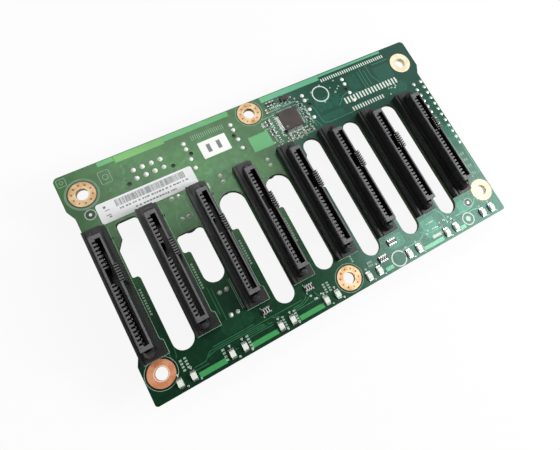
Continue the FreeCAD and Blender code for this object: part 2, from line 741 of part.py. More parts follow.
def make_switch_leads():
    width, reach, foot = S.switch_lead_width, S.switch_lead_reach, S.chip_lead_thickness
    y_low = from_top(S.switch_drop) - S.switch_width / 2 - reach
    y_high = from_top(S.switch_drop) + S.switch_width / 2
    spots = [(switch_x - S.switch_length / 3 - width / 2, y_low),
             (switch_x + S.switch_length / 3 - width / 2, y_low), (switch_x - width / 2, y_high)]
    return group("switch_feet", [block(f"switch_foot_{index}", x, y, 0, width, reach, 2 * foot)
                                 for index, (x, y) in enumerate(spots)])


def lamp_spots():
    return [(bay_x(bay) + S.lamp_offset + side * S.lamp_spacing, S.lamp_y)
            for bay in range(BAYS) for side in (0, 1)]


def make_lamp_parts():
    """Lamp base, its two metal caps and the clear lens on top."""
    half, width = S.lamp_length / 2, S.lamp_width / 2
    base = block("lamp_base_block", -width, -half + S.lamp_cap, 0,
                 S.lamp_width, S.lamp_length - 2 * S.lamp_cap, S.lamp_base)
    caps = group("lamp_caps", [
        block("lamp_cap_low", -width, -half, 0, S.lamp_width, S.lamp_cap, S.lamp_base),
        block("lamp_cap_high", -width, half - S.lamp_cap, 0, S.lamp_width, S.lamp_cap, S.lamp_base)])
    lens = body("lamp_lens_block")
    side = Sketch(lens, "YZ_Plane", -width)
    foot, head = half - S.lamp_cap, half - 1.5 * S.lamp_cap
    side.outline([(-foot, S.lamp_base), (foot, S.lamp_base), (head, S.lamp_height), (-head, S.lamp_height)])
    pad(lens, side, S.lamp_width)
    return base, caps, lens


def make_array_parts():
    length, width, foot = S.array_length / 2, S.array_width / 2, S.array_foot
    base = block("array_block", -length, -width, S.chip_standoff / 2, S.array_length, S.array_width,
                 S.array_height)
    pitch = S.array_length / ARRAY_ELEMENTS
    feet = []
    for index in range(ARRAY_ELEMENTS):
        x = (index - (ARRAY_ELEMENTS - 1) / 2) * pitch - S.array_foot_width / 2
        feet.append(block(f"array_foot_low_{index}", x, -width - foot, 0, S.array_foot_width, foot,
                          S.array_height))
        feet.append(block(f"array_foot_high_{index}", x, width, 0, S.array_foot_width, foot,
                          S.array_height))
    return base, group("array_feet_of_one", feet)


def make_chip_part():
    """A small two-ended part: its body and its two end caps, lying along X."""
    half, width, cap = S.chip_part_length / 2, S.chip_part_width, S.chip_part_cap
    core = block("chip_part_core", -half + cap, -width / 2, 0, S.chip_part_length - 2 * cap, width,
                 S.chip_part_height)
    caps = group("chip_part_caps", [
        block("chip_part_cap_left", -half, -width / 2, 0, cap, width, S.chip_part_height),
        block("chip_part_cap_right", half - cap, -width / 2, 0, cap, width, S.chip_part_height)])
    return core, caps


def chip_part_spots():
    """Places and turns of the small parts around the controller chip."""
    chip_y = from_top(S.chip_drop)
    gap = S.chip_side / 2 + S.chip_lead_reach + 2 * S.chip_part_width
    row = 1.6 * S.chip_part_width
    resistors = [(switch_x - S.switch_length - row * index, from_top(S.switch_drop), 0, 90)
                 for index in range(1, 4)]
    resistors += [(chip_x - gap - S.chip_part_length, chip_y - row * index, 0, 0)
                  for index in (-2, -1, 1, 2)]
    resistors += [(chip_x + gap, chip_y + row * index, 0, 0) for index in (-2, 0, 1, 3)]
    capacitors = [(chip_x + row * index, chip_y - gap, 0, 90) for index in (-2, 0, 2)]
    capacitors += [(chip_x - gap, chip_y + gap, 0, 90), (chip_x + gap, chip_y - gap, 0, 90)]
    return resistors, capacitors


def make_label(name, x, drop, length, width, corner):
    label = body(name)
    face = Sketch(label, "XY_Plane")
    right, low, high = x + length, from_top(drop) - width, from_top(drop)
    face.rectangle(x, low, right, high)
    pad(label, face, S.label_thickness)
    soften(label, [(x, low), (x, high), (right, low), (right, high)], corner)
    return label


# ---------------------------------------------------------------- assembly

def build():
    node(make_board(), "board")

    housing = make_drive_housing()
    contacts = make_drive_contacts(make_spring(), make_comb_strip())
    for bay in range(BAYS):
        spot = (bay_x(bay), S.lower_band)
        node(copy_at(housing, f"housing_at_{bay + 1}", *spot), f"drive_connector_{bay + 1}")
        node(copy_at(contacts, f"contacts_at_{bay + 1}", *spot), f"drive_contacts_{bay + 1}")

    node(copy_at(make_header(), "header_at", header_middle, header_y), "power_header")
    node(spread("header_pins", make_header_pin(), header_pins), "power_pins")

    cage, core, strips = make_cage(), make_cage_core(), make_cable_contacts()
    for side, centre in zip(("left", "right"), cages):
        spot = (centre, board_height)
        node(copy_at(cage, f"cage_{side}", *spot), f"cable_cage_{side}")
        node(copy_at(core, f"core_{side}", *spot), f"cable_core_{side}")
        node(copy_at(strips, f"strips_{side}", *spot), f"cable_contacts_{side}")

    node(spread("cans", make_can(), [spot[:2] for spot in cans]), "capacitor_cans")
    node(spread("leads", make_lead(), can_leads), "capacitor_leads")

    chip_spot = (chip_x, from_top(S.chip_drop))
    node(copy_at(make_chip(), "chip_at", *chip_spot), "controller_chip")
    node(copy_at(make_chip_leads(make_chip_lead()), "chip_leads_at", *chip_spot), "controller_leads")
    node(make_switch(), "power_switch_chip")
    node(make_switch_leads(), "power_switch_leads")

    base, caps, lens = make_lamp_parts()
    node(spread("base_set", base, lamp_spots()), "lamp_bases")
    node(spread("lamp_cap_pairs", caps, lamp_spots()), "lamp_end_caps")
    node(spread("lens_set", lens, lamp_spots()), "lamp_lenses")

    array, feet = make_array_parts()
    array_spots = [
        (bay_x(2) + S.array_one_reach, S.array_one_y), (bay_x(3) + S.array_two_reach, S.array_one_y),
        (bay_x(5) + S.array_three_reach, S.array_one_y), (bay_x(4) + S.array_four_reach, S.array_four_y)]
    node(spread("arrays", array, array_spots), "resistor_arrays")
    node(spread("array_feet", feet, array_spots), "resistor_array_feet")

    core_block, end_caps = make_chip_part()
    resistors, capacitors = chip_part_spots()
    node(spread("resistor_cores", core_block, resistors), "chip_resistors")
    node(spread("capacitor_cores", core_block, capacitors), "chip_capacitors")
    node(spread("part_caps", end_caps, resistors + capacitors), "chip_part_end_caps")

    node(make_label("label", S.label_x, S.label_drop, S.label_length, S.label_width, S.label_corner),
         "code_label")
    node(make_label("tag", tag_x, S.tag_drop, S.tag_length, S.tag_width, S.tag_corner), "white_tag")


def write_out():
    DOC.recompute()
    for item in DOC.Objects:
        if "Invalid" in item.State or "Error" in item.State:
            raise RuntimeError(f"{item.Name} ({item.Label}) did not build: {item.State}")
    os.makedirs("parts", exist_ok=True)
    for item in NODES:
        if item.Shape.isNull() or not item.Shape.isValid() or not item.Shape.Solids:
            raise RuntimeError(f"{item.Label} has no valid solid")
        item.Shape.exportStep(os.path.join("parts", f"{item.Label}.step"))
        print(f"{item.Label}: {len(item.Shape.Solids)} solids, {item.Shape.Volume:.2f} mm3")


build()
write_out()
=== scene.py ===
"""Looks of a server drive backplane board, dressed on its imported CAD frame.

Lengths inside the classes are millimetres, measured from the lower left corner of the board's
long straight edge (x to the right, y up) and from its front face (z out).  ``Layout`` turns them
into metres of the shared frame.
"""

from __future__ import annotations

import json
import logging
import math
import random
from collections.abc import Iterable
from dataclasses import dataclass
from enum import Enum

import bmesh
import bpy
from mathutils import Matrix, Quaternion, Vector


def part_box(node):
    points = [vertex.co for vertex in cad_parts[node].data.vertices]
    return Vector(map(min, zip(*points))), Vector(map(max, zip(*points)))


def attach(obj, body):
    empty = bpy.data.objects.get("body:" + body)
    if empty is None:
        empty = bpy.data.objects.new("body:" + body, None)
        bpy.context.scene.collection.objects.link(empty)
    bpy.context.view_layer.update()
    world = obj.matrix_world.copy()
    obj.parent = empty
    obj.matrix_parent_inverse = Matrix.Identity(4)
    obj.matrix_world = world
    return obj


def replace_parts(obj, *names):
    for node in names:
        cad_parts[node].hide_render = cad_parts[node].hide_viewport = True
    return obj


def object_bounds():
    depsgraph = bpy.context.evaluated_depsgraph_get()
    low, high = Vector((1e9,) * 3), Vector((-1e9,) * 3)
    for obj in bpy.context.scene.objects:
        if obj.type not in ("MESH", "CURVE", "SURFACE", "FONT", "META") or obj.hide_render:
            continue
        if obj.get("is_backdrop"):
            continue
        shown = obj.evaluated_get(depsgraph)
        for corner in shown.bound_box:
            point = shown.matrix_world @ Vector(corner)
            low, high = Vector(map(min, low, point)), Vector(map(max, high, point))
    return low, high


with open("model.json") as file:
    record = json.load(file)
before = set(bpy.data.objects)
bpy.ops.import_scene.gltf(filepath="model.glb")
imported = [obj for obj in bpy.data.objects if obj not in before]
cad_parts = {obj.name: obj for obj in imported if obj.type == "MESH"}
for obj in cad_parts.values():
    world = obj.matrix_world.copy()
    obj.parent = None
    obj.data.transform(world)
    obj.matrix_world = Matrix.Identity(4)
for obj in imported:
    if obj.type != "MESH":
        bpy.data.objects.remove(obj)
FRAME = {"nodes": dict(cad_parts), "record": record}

LOG = logging.getLogger("drive_backplane")
MM = 0.001
WHITE = (1.0, 1.0, 1.0)
NOISE = (0.3, 0.7)  # the middle of cloudy noise, which is stretched over a whole range
BAYS = 8
LAMPS = (6.95, 11.1)  # places of a bay's two indicator lamps, from the left side of its connector
CAN_REACH = 3.4  # how far apart the points of one can's leads may lie
Point = tuple[float, float]
Box = tuple[float, ...]
Colour = tuple[float, float, float]
Outline = list[Point]
Run = tuple[list[Vector], bool]
Socket = bpy.types.NodeSocket


def tone(red: int, green: int, blue: int) -> Colour:
    """Turn a display colour into the linear one that shaders take.

    Args:
        red: Display red, 0 to 255.
        green: Display green, 0 to 255.
        blue: Display blue, 0 to 255.

    Returns:
        The linear colour, each part from 0 to 1.
    """
    def linear(part: int) -> float:
        """Linear value of one part."""
        share = part / 255
        return share / 12.92 if share <= 0.04045 else ((share + 0.055) / 1.055) ** 2.4

    return linear(red), linear(green), linear(blue)


# ------------------------------ outlines


def arc(centre: Point, radius: float, turns: Iterable[float]) -> Outline:
    """Return the points round a centre at the given turns in radians."""
    x, y = centre
    return [(x + radius * math.cos(turn), y + radius * math.sin(turn)) for turn in turns]


def disc(centre: Point, radius: float, count: int = 24) -> Outline:
    """Return the outline of a round field."""
    return arc(centre, radius, (math.tau * index / count for index in range(count)))


def oblong(left: float, low: float, right: float, high: float, corner: float = 0.0) -> Outline:
    """Return the outline of an upright rectangle.

    Args:
        left: Left side.
        low: Lower side.
        right: Right side.
        high: Upper side.
        corner: Radius of its corners, or 0 for sharp ones.

    Returns:
        The points, counter-clockwise.
    """
    if not corner:
        return [(left, low), (right, low), (right, high), (left, high)]
    middles = ((right - corner, low + corner), (right - corner, high - corner),
               (left + corner, high - corner), (left + corner, low + corner))
    steps = 4
    outline = []
    for quarter, middle in enumerate(middles):
        turns = (math.pi / 2 * (quarter - 1 + step / steps) for step in range(steps + 1))
        outline += arc(middle, corner, turns)
    return outline


def oblongs(*boxes: Box) -> list[Outline]:
    """Return the outlines of several upright rectangles."""
    return [oblong(*box) for box in boxes]


def bar(x: float, y: float, width: float, height: float) -> Outline:
    """Return the outline of a rectangle round its middle."""
    return oblong(x - width / 2, y - height / 2, x + width / 2, y + height / 2)


def dashes(left: float, low: float, right: float, high: float, steps: int,
           fill: float = 0.62) -> list[Outline]:
    """Fill a box with a row of plain dashes along its longer side.

    Args:
        left: Left side of the box.
        low: Lower side.
        right: Right side.
        high: Upper side.
        steps: Number of dashes.
        fill: Share of each step that its dash covers.

    Returns:
        The outline of each dash.
    """
    wide = right - left > high - low
    pitch = (right - left if wide else high - low) / steps
    starts = [step * pitch + pitch * (1 - fill) / 2 for step in range(steps)]
    if wide:
        return [oblong(left + start, low, left + start + pitch * fill, high) for start in starts]
    return [oblong(left, low + start, right, low + start + pitch * fill) for start in starts]


def eased(corners: Outline, cut: float) -> Outline:
    """Cut the corners of a route by a slant, as a board's copper lines are drawn.

    Args:
        corners: The route's corners.
        cut: How far from a corner the slant starts.

    Returns:
        The points of the eased route.
    """
    route = [corners[0]]
    for before, corner, after in zip(corners, corners[1:], corners[2:]):
        for other in (before, after):
            span = math.dist(corner, other)
            share = min(cut, span / 2) / span
            route.append((corner[0] + (other[0] - corner[0]) * share,
                          corner[1] + (other[1] - corner[1]) * share))
    return [*route, corners[-1]]


def scattered(draw: random.Random, *zones: Box) -> list[Point]:
    """Draw points at random, each zone being a box and the number of points in it."""
    return [(draw.uniform(left, right), draw.uniform(low, high))
            for left, low, right, high, count in zones for _ in range(count)]


# ------------------------------ where things are


@dataclass(frozen=True)
class Layout:
    """The board's own axes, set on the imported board.

    Args:
        corner: Where the board's straight lower left corner lies, on the front face, in metres.
        height: Height of the board in millimetres.
        thickness: Thickness of the board in millimetres.
    """

    corner: Vector
    height: float
    thickness: float

    LEFT_EAR = 1.5  # how far the left screw ears stand out past the straight edge
    SKIN = 0.02  # how far behind the front face a point may lie and still count as in front
    ROUNDS = 4  # how often the middles of clusters are refined

    @classmethod
    def of_frame(cls) -> Layout:
        """Read the board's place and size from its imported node.

        Returns:
            The axes.
        """
        low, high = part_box("board")
        corner = Vector((low.x + cls.LEFT_EAR * MM, low.y, high.z))
        return cls(corner, (high.y - low.y) / MM, (high.z - low.z) / MM)

    def at(self, x: float, y: float, z: float = 0.0) -> Vector:
        """Turn board millimetres into a point of the shared frame."""
        return self.corner + Vector((x, y, z)) * MM

    def back_of(self, point: Vector) -> Point:
        """Turn a point of the shared frame into board millimetres."""
        away = (point - self.corner) / MM
        return away.x, away.y

    def bay(self, index: int) -> float:
        """Left side of one drive connector, counted from 0."""
        return (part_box(f"drive_connector_{index + 1}")[0].x - self.corner.x) / MM

    def seat(self, node: str) -> tuple[float, float, float]:
        """Left side, lower side and top of a node."""
        low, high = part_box(node)
        return *self.back_of(low), (high.z - self.corner.z) / MM

    def sides(self, node: str) -> tuple[float, float, float, float]:
        """Left, lower, right and upper side of a node."""
        low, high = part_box(node)
        return *self.back_of(low), *self.back_of(high)

    def run(self, corners: Outline, height: float = 0.0, closed: bool = False) -> Run:
        """Run through corners at a height over the front face."""
        return [self.at(x, y, height) for x, y in corners], closed

    def ring(self, centre: Point, radius: float, height: float = 0.0, count: int = 56) -> Run:
        """Run round a centre at a height over the front face."""
        return self.run(disc(centre, radius, count), height, True)

    def clusters(self, node: str, reach: float) -> list[Point]:
        """Find the middle of each group of a node's points, leaving out those behind the front face.

        Args:
            node: Name of the CAD node.
            reach: How far apart points of one group may lie.

        Returns:
            The middles.
        """
        spots = [self.back_of(vertex.co) for vertex in FRAME["nodes"][node].data.vertices
                 if vertex.co.z > self.corner.z - self.SKIN * MM]
        middles: list[Point] = []
        for spot in spots:
            if all(math.dist(middle, spot) >= reach for middle in middles):
                middles.append(spot)
        for _ in range(self.ROUNDS):
            groups: list[list[Point]] = [[] for _ in middles]
            for spot in spots:
                nearest = min(range(len(middles)), key=lambda index: math.dist(middles[index], spot))
                groups[nearest].append(spot)
            middles = [(sum(x for x, _ in group) / len(group), sum(y for _, y in group) / len(group))
                       for group in groups]
        return middles


# ------------------------------ wiring of trees


class Graph:
    """A node tree while it is being wired."""

    def __init__(self, tree: bpy.types.NodeTree) -> None:
        """Hold the tree and empty it."""
        self.tree = tree
        tree.nodes.clear()

    def put(self, socket: Socket, value: object) -> None:
        """Link or set one input.

        Args:
            socket: The input.
            value: The output to link to it, or its number or colour.
        """
        if isinstance(value, Socket):
            self.tree.links.new(value, socket)
        else:
            socket.default_value = (*value, 1.0) if isinstance(value, tuple) else value

    def add(self, kind: str, inputs: dict | None = None, **settings: object) -> bpy.types.Node:
        """Add a node, set it up and feed its sockets.

        Args:
            kind: Blender's name of the node type.
            inputs: A value or an output socket for each input, by name or number.
            **settings: Attributes of the node.

        Returns:
            The new node.
        """
        node = self.tree.nodes.new(kind)
        for name, value in settings.items():
            setattr(node, name, value)
        for key, value in (inputs or {}).items():
            self.put(node.inputs[key], value)
        return node

    def math(self, operation: str, first: object, second: object = 0.0) -> Socket:
        """Add a math node and return its result."""
        return self.add("ShaderNodeMath", {0: first, 1: second}, operation=operation).outputs[0]

    def span(self, value: object, low: float, high: float, start: float = 0.0, end: float = 1.0) -> Socket:
        """Map low..high of a value onto start..end, smoothly and held at both ends."""
        inputs = {"Value": value, "From Min": low, "From Max": high, "To Min": start, "To Max": end}
        return self.add("ShaderNodeMapRange", inputs, interpolation_type="SMOOTHSTEP").outputs[0]

    def blend(self, share: object, first: object, second: object) -> Socket:
        """Mix two colours, each a linear colour or a socket, by share."""
        return self.add("ShaderNodeMix", {0: share, 6: first, 7: second}, data_type="RGBA").outputs[2]

    def part(self, vector: Socket, axis: str) -> Socket:
        """Take one axis of a vector."""
        return self.add("ShaderNodeSeparateXYZ", {"Vector": vector}).outputs[axis]

    def vector(self, **parts: object) -> Socket:
        """Join numbers or sockets, by axis, into a vector."""
        return self.add("ShaderNodeCombineXYZ", parts).outputs[0]

    def relief(self, height: Socket, depth: float) -> Socket:
        """Turn a height pattern into a shading normal, with depth in metres."""
        return self.add("ShaderNodeBump", {"Height": height, "Distance": depth, "Strength": 1.0}).outputs[0]


class Paint(Graph):
    """A material's tree while it is being wired, with its shader and the position on the object."""

    def __init__(self, tree: bpy.types.NodeTree) -> None:
        """Empty the tree and start it with a shader and a position.

        Args:
            tree: Tree of the material.
        """
        super().__init__(tree)
        self.shader = self.add("ShaderNodeBsdfPrincipled")
        self.where = self.add("ShaderNodeTexCoord").outputs["Object"]
        self.add("ShaderNodeOutputMaterial", {"Surface": self.shader.outputs["BSDF"]})

    def noise(self, scale: float, detail: float = 3.0) -> Socket:
        """Add cloudy noise over the object, with scale in clouds per metre."""
        inputs = {"Vector": self.where, "Scale": scale, "Detail": detail}
        return self.add("ShaderNodeTexNoise", inputs).outputs["Fac"]

    def feed(self, **values: object) -> None:
        """Feed sockets of the shader, named with underscores for spaces."""
        for name, value in values.items():
            self.put(self.shader.inputs[name.replace("_", " ")], value)


# ------------------------------ finishes


@dataclass(frozen=True)
class Finish:
    """One finish; a subclass says how its colour, gloss and relief come about.

    Args:
        name: Name of the material.
        slot: Material slot of the record that the finish belongs to; not used.
    """

    name: str
    slot: str

    def wire(self, paint: Paint) -> None:
        """Feed the shader."""
        raise NotImplementedError

    def material(self) -> bpy.types.Material:
        """Find the material, or make it on first use.

        Returns:
            The material.
        """
        known = bpy.data.materials.get(self.name)
        if known is not None and known.get("dressed"):
            return known
        made = bpy.data.materials.new(self.name)
        made["dressed"] = True
        made.use_nodes = True
        self.wire(Paint(made.node_tree))
        return made


@dataclass(frozen=True)
class SolderMask(Finish):
    """Green lacquer over copper and glass cloth, with painted shade at the lower left and a painted
    reflection at the right end.

    Args:
        lacquer: Colour at the upper left.
        shade: Its darker clouds there.
        lower: Colour at the lower left, darker than the rest: painted shade.
        cool: Colour at the right end, paler and bluer: a painted reflection of the right lamp.
        laminate: Colour of the sawn glass cloth.
        fibre: Colour of its darker strands.
        shine: How much of the copper shines through, 0 to 1.
        gloss: Roughness of that shine.
        sawn: 1 where upright faces are sawn laminate, 0 where they are lacquered.
        falls: From where to where the painted shade of the lower left gives way to the upper green, in
            metres up the frame.
        turns: From where to where the left green turns into the painted reflection at the right, in metres
            along it.
    """

    lacquer: Colour = tone(58, 108, 58)
    shade: Colour = tone(48, 90, 48)
    lower: Colour = tone(14, 66, 40)
    cool: Colour = tone(32, 82, 66)
    laminate: Colour = tone(92, 96, 54)
    fibre: Colour = tone(62, 66, 38)
    shine: float = 0.65
    gloss: float = 0.34
    sawn: float = 0.0
    falls: Point = (-0.024, 0.014)
    turns: Point = (-0.004, 0.014)

    CLOUDS, GRAIN, FIBRES, THREADS = 70.0, 900.0, 4000.0, 560.0

    def wire(self, paint: Paint) -> None:
        """Lay cloudy green over a faint weave, with painted shade at the lower left and a painted reflection
        at the right end, and show the laminate on sawn upright faces.

        Args:
            paint: The material that is wired.
        """
        clouds = paint.span(paint.noise(self.CLOUDS, 4.0), 0.35, 0.68)
        fine = paint.noise(self.GRAIN)
        warm = paint.blend(clouds, self.lacquer, self.shade)
        # Painted shade: the lower left is darker than the rest of the lacquer.
        left = paint.blend(paint.span(paint.part(paint.where, "Y"), *self.falls), self.lower, warm)
        # Painted reflection: the right end turns paler and bluer, as if it mirrored the right lamp.
        green = paint.blend(paint.span(paint.part(paint.where, "X"), *self.turns), left, self.cool)
        facing = paint.part(paint.add("ShaderNodeNewGeometry").outputs["Normal"], "Z")
        upright = paint.math("LESS_THAN", paint.math("ABSOLUTE", facing), 0.5)
        edge = paint.math("MULTIPLY", upright, self.sawn)
        fibres = paint.span(paint.noise(self.FIBRES, 2.0), *NOISE)
        raw = paint.blend(fibres, self.laminate, self.fibre)
        threads = {"Vector": paint.where, "Scale": self.THREADS, "Distortion": 0.6}
        weave = paint.math("MULTIPLY", *(
            paint.add("ShaderNodeTexWave", threads, bands_direction=way).outputs["Fac"] for way in "XY"))
        height = paint.math("ADD", paint.math("MULTIPLY", weave, 0.35), fine)
        rough = paint.span(fine, *NOISE, self.gloss - 0.04, self.gloss + 0.06)
        metallic = paint.math("MULTIPLY", paint.math("SUBTRACT", 1.0, edge), self.shine)
        paint.feed(Base_Color=paint.blend(edge, green, raw), Metallic=metallic,
                   Roughness=paint.math("ADD", rough, paint.math("MULTIPLY", edge, 0.35)),
                   Normal=paint.relief(height, 0.000004), Coat_Weight=0.55, Coat_Roughness=0.2)


@dataclass(frozen=True)
class MouldedPlastic(Finish):
    """Moulded resin with a fine eroded grain, and a lighter grey painted highlight, broken up by scuffs, on
    the faces above a height in metres.
    """

    colour: Colour = tone(30, 30, 32)
    bright: Colour = tone(44, 44, 47)
    gloss: float = 0.46
    glare: float = 0.5
    # The next three set the painted highlight of the highest faces: its grey, the height where it is full
    # and how far below that it fades in.
    painted_rim_highlight: Colour = tone(96, 96, 98)
    highlight_from: float = 1.0
    wear: float = 0.0005

    CLOUDS, SCUFFS, GRAIN = 260.0, 1500.0, 9000.0

    def wire(self, paint: Paint) -> None:
        """Mottle the resin, roughen its skin and paint a scuffed lighter grey highlight on the highest
        faces.

        Args:
            paint: The material that is wired.
        """
        clouds = paint.noise(self.CLOUDS, 4.0)
        plain = paint.blend(paint.span(clouds, 0.35, 0.7), self.colour, self.bright)
        # Painted highlight: faces near the top turn lighter grey, as rims that catch the lamps; scuffs break
        # it up.
        painted_highlight_share = paint.span(paint.part(paint.where, "Z"), self.highlight_from - self.wear, self.highlight_from)
        scuffs = paint.span(paint.noise(self.SCUFFS, 4.0), 0.25, 0.6, 0.55, 1.0)
        paint.feed(Base_Color=paint.blend(paint.math("MULTIPLY", painted_highlight_share, scuffs), plain, self.painted_rim_highlight),
                   Roughness=paint.span(clouds, *NOISE, self.gloss - 0.05, self.gloss + 0.07),
                   Specular_IOR_Level=self.glare,
                   Normal=paint.relief(paint.noise(self.GRAIN, 2.0), 0.000006))


@dataclass(frozen=True)
class PlatedMetal(Finish):
    """Plated metal with fine handling marks and patches of duller plating."""

    colour: Colour = tone(236, 200, 140)
    dull: Colour = tone(214, 170, 108)
    gloss: float = 0.36
    metal: float = 1.0

    PATCHES, MARKS = 420.0, 2600.0

    def wire(self, paint: Paint) -> None:
        """Vary tint and gloss in patches and lay fine marks over them.

        Args:
            paint: The material that is wired.
        """
        patches = paint.span(paint.noise(self.PATCHES, 4.0), 0.35, 0.7)
        marks = paint.noise(self.MARKS)
        paint.feed(Base_Color=paint.blend(patches, self.colour, self.dull), Metallic=self.metal,
                   Roughness=paint.span(marks, 0.3, 0.75, self.gloss - 0.08, self.gloss + 0.12),
                   Normal=paint.relief(marks, 0.000006))


@dataclass(frozen=True)
class CoatedPaper(Finish):
    """Smooth white label stock with a faint tooth."""

    colour: Colour = tone(236, 238, 238)
    toned: Colour = tone(224, 227, 228)

    CLOUDS, TOOTH = 180.0, 5200.0

    def wire(self, paint: Paint) -> None:
        """Tint the sheet in broad clouds and give it paper tooth.

        Args:
            paint: The material that is wired.
        """
        clouds, tooth = paint.noise(self.CLOUDS), paint.noise(self.TOOTH, 2.0)
        paint.feed(Base_Color=paint.blend(clouds, self.colour, self.toned),
                   Roughness=paint.span(tooth, *NOISE, 0.42, 0.58), Normal=paint.relief(tooth, 0.000003))


@dataclass(frozen=True)
class PrintInk(Finish):
    """Screen-printed or label ink, a little patchy where it lies thin."""

    colour: Colour = tone(226, 232, 224)
    thin: Colour = tone(150, 180, 160)
    patchy: float = 0.35

    SPECKS = 3200.0

    def wire(self, paint: Paint) -> None:
        """Thin the ink in specks.

        Args:
            paint: The material that is wired.
        """
        specks = paint.noise(self.SPECKS, 4.0)
        share = paint.span(specks, 0.48, 0.72, 0.0, self.patchy)
        paint.feed(Base_Color=paint.blend(share, self.colour, self.thin),
                   Roughness=paint.span(specks, *NOISE, 0.5, 0.66), Normal=paint.relief(specks, 0.000004))


@dataclass(frozen=True)
class ClearResin(Finish):
    """Water-clear to milky lamp resin."""

    colour: Colour = tone(246, 252, 244)
    milky: Colour = tone(232, 244, 228)
    clear: float = 0.1

    CLOUDS = 1400.0

    def wire(self, paint: Paint) -> None:
        """Cloud the resin slightly and keep it glossy.

        Args:
            paint: The material that is wired.
        """
        clouds = paint.noise(self.CLOUDS)
        paint.feed(Base_Color=paint.blend(clouds, self.colour, self.milky),
                   Roughness=paint.span(clouds, *NOISE, 0.12, 0.22), Transmission_Weight=self.clear,
                   Normal=paint.relief(clouds, 0.000004))


class Finishes:
    """Every finish on the board, by what it is."""

    # In each lacquer below, the third colour, given or by default, is painted shade at the lower left and
    # the fourth a painted reflection at the right end.
    MASK = SolderMask("green_lacquer", "green_board", sawn=1.0)
    POUR = SolderMask("lacquer_over_bare_cloth", "green_board", tone(92, 176, 104), tone(76, 160, 94),
                      tone(66, 162, 90), tone(98, 178, 138), shine=0.2, gloss=0.36)
    POUR_WARM = SolderMask("lacquer_over_warm_cloth", "green_board", tone(108, 178, 92),
                           tone(92, 160, 80), shine=0.2, gloss=0.36)
    FIELD = SolderMask("lacquer_over_copper_field", "green_board", tone(58, 106, 62), tone(46, 90, 50),
                       tone(28, 84, 54), tone(40, 98, 80), gloss=0.3)
    TRACE = SolderMask("lacquer_over_copper", "green_board", tone(72, 124, 76), tone(60, 110, 64),
                       tone(54, 122, 82), tone(66, 136, 114), shine=0.5)
    DEEP = SolderMask("lacquer_ring", "green_board", tone(22, 50, 28), tone(16, 42, 24),
                      tone(6, 36, 22), tone(14, 44, 36), shine=0.3)
    # Flat dark discs that stand for the shade inside open holes and via pits: painted shade.
    HOLE = MouldedPlastic("dark_drilling", "black_plastic", tone(12, 16, 13), tone(20, 24, 20), 0.7)
    # The housing's faces above 20 mm carry a painted highlight.
    PLASTIC = MouldedPlastic("black_housing", "black_plastic", tone(13, 13, 15), tone(23, 23, 25), 0.42,
                             0.7, tone(98, 98, 100), 0.0200)
    CHIP = MouldedPlastic("chip_resin", "chip_black", tone(58, 50, 47), tone(72, 62, 57), 0.4)
    GLAZE = MouldedPlastic("resistor_glaze", "chip_black", tone(30, 32, 34), tone(42, 44, 46), 0.3)
    CERAMIC_WHITE = MouldedPlastic("array_ceramic", "chip_black", tone(214, 216, 208), tone(196, 198, 190),
                                   0.5)
    CERAMIC = MouldedPlastic("capacitor_ceramic", "capacitor_tan", tone(150, 128, 98), tone(172, 146, 112),
                             0.4)
    LAMP_BASE = MouldedPlastic("lamp_base_resin", "lamp_white", tone(240, 246, 236), tone(224, 234, 218),
                               0.4)
    LAMP_LENS = ClearResin("lamp_lens_resin", "lamp_clear")
    GOLD = PlatedMetal("contact_gold", "gold_contacts", tone(200, 194, 176), tone(156, 148, 128), 0.42)
    PAD_GOLD = PlatedMetal("pad_gold", "gold_contacts", tone(240, 210, 166), tone(212, 166, 116), 0.5, 0.7)
    # Darker plating for the vias on the pads: painted shade of their dimples.
    PAD_VIA = PlatedMetal("pad_via", "gold_contacts", tone(156, 104, 62), tone(130, 84, 48), 0.5, 0.4)
    PAD_COPPER = PlatedMetal("pad_copper", "gold_contacts", tone(244, 172, 132), tone(228, 146, 104), 0.5,
                             0.6)
    PAD_PALE = PlatedMetal("pad_pale", "gold_contacts", tone(244, 236, 212), tone(230, 216, 184), 0.7, 0.5)
    TIN = PlatedMetal("bright_tin", "tinned_metal", tone(216, 218, 214), tone(190, 194, 190), 0.3)
    JOINT = PlatedMetal("solder_joint", "tinned_metal", tone(252, 254, 250), tone(236, 240, 230), 0.3, 0.12)
    PAD_TIN = PlatedMetal("pad_tin", "tinned_metal", tone(222, 232, 222), tone(196, 212, 200), 0.45, 0.6)
    STEEL = PlatedMetal("cage_plating", "cage_steel", tone(196, 198, 198), tone(178, 180, 180), 0.34)
    CAN = PlatedMetal("can_metal", "can_aluminium", tone(206, 208, 212), tone(190, 192, 196), 0.3)
    CAN_MARK = PrintInk("can_mark_ink", "can_aluminium", tone(34, 36, 40), tone(70, 72, 76), 0.3)
    PAPER = CoatedPaper("label_stock", "label_paper", tone(240, 242, 241), tone(230, 233, 233))
    TAG = CoatedPaper("tag_stock", "label_paper", tone(250, 252, 248), tone(242, 246, 240))
    PRINT = PrintInk("white_print", "label_paper", tone(214, 226, 214), tone(140, 172, 152))
    FAINT_PRINT = PrintInk("worn_print", "label_paper", tone(150, 176, 156), tone(96, 132, 108), 0.6)
    GREY_INK = PrintInk("grey_ink", "label_paper", tone(120, 124, 126), tone(180, 182, 184), 0.5)


# ------------------------------ growing pieces


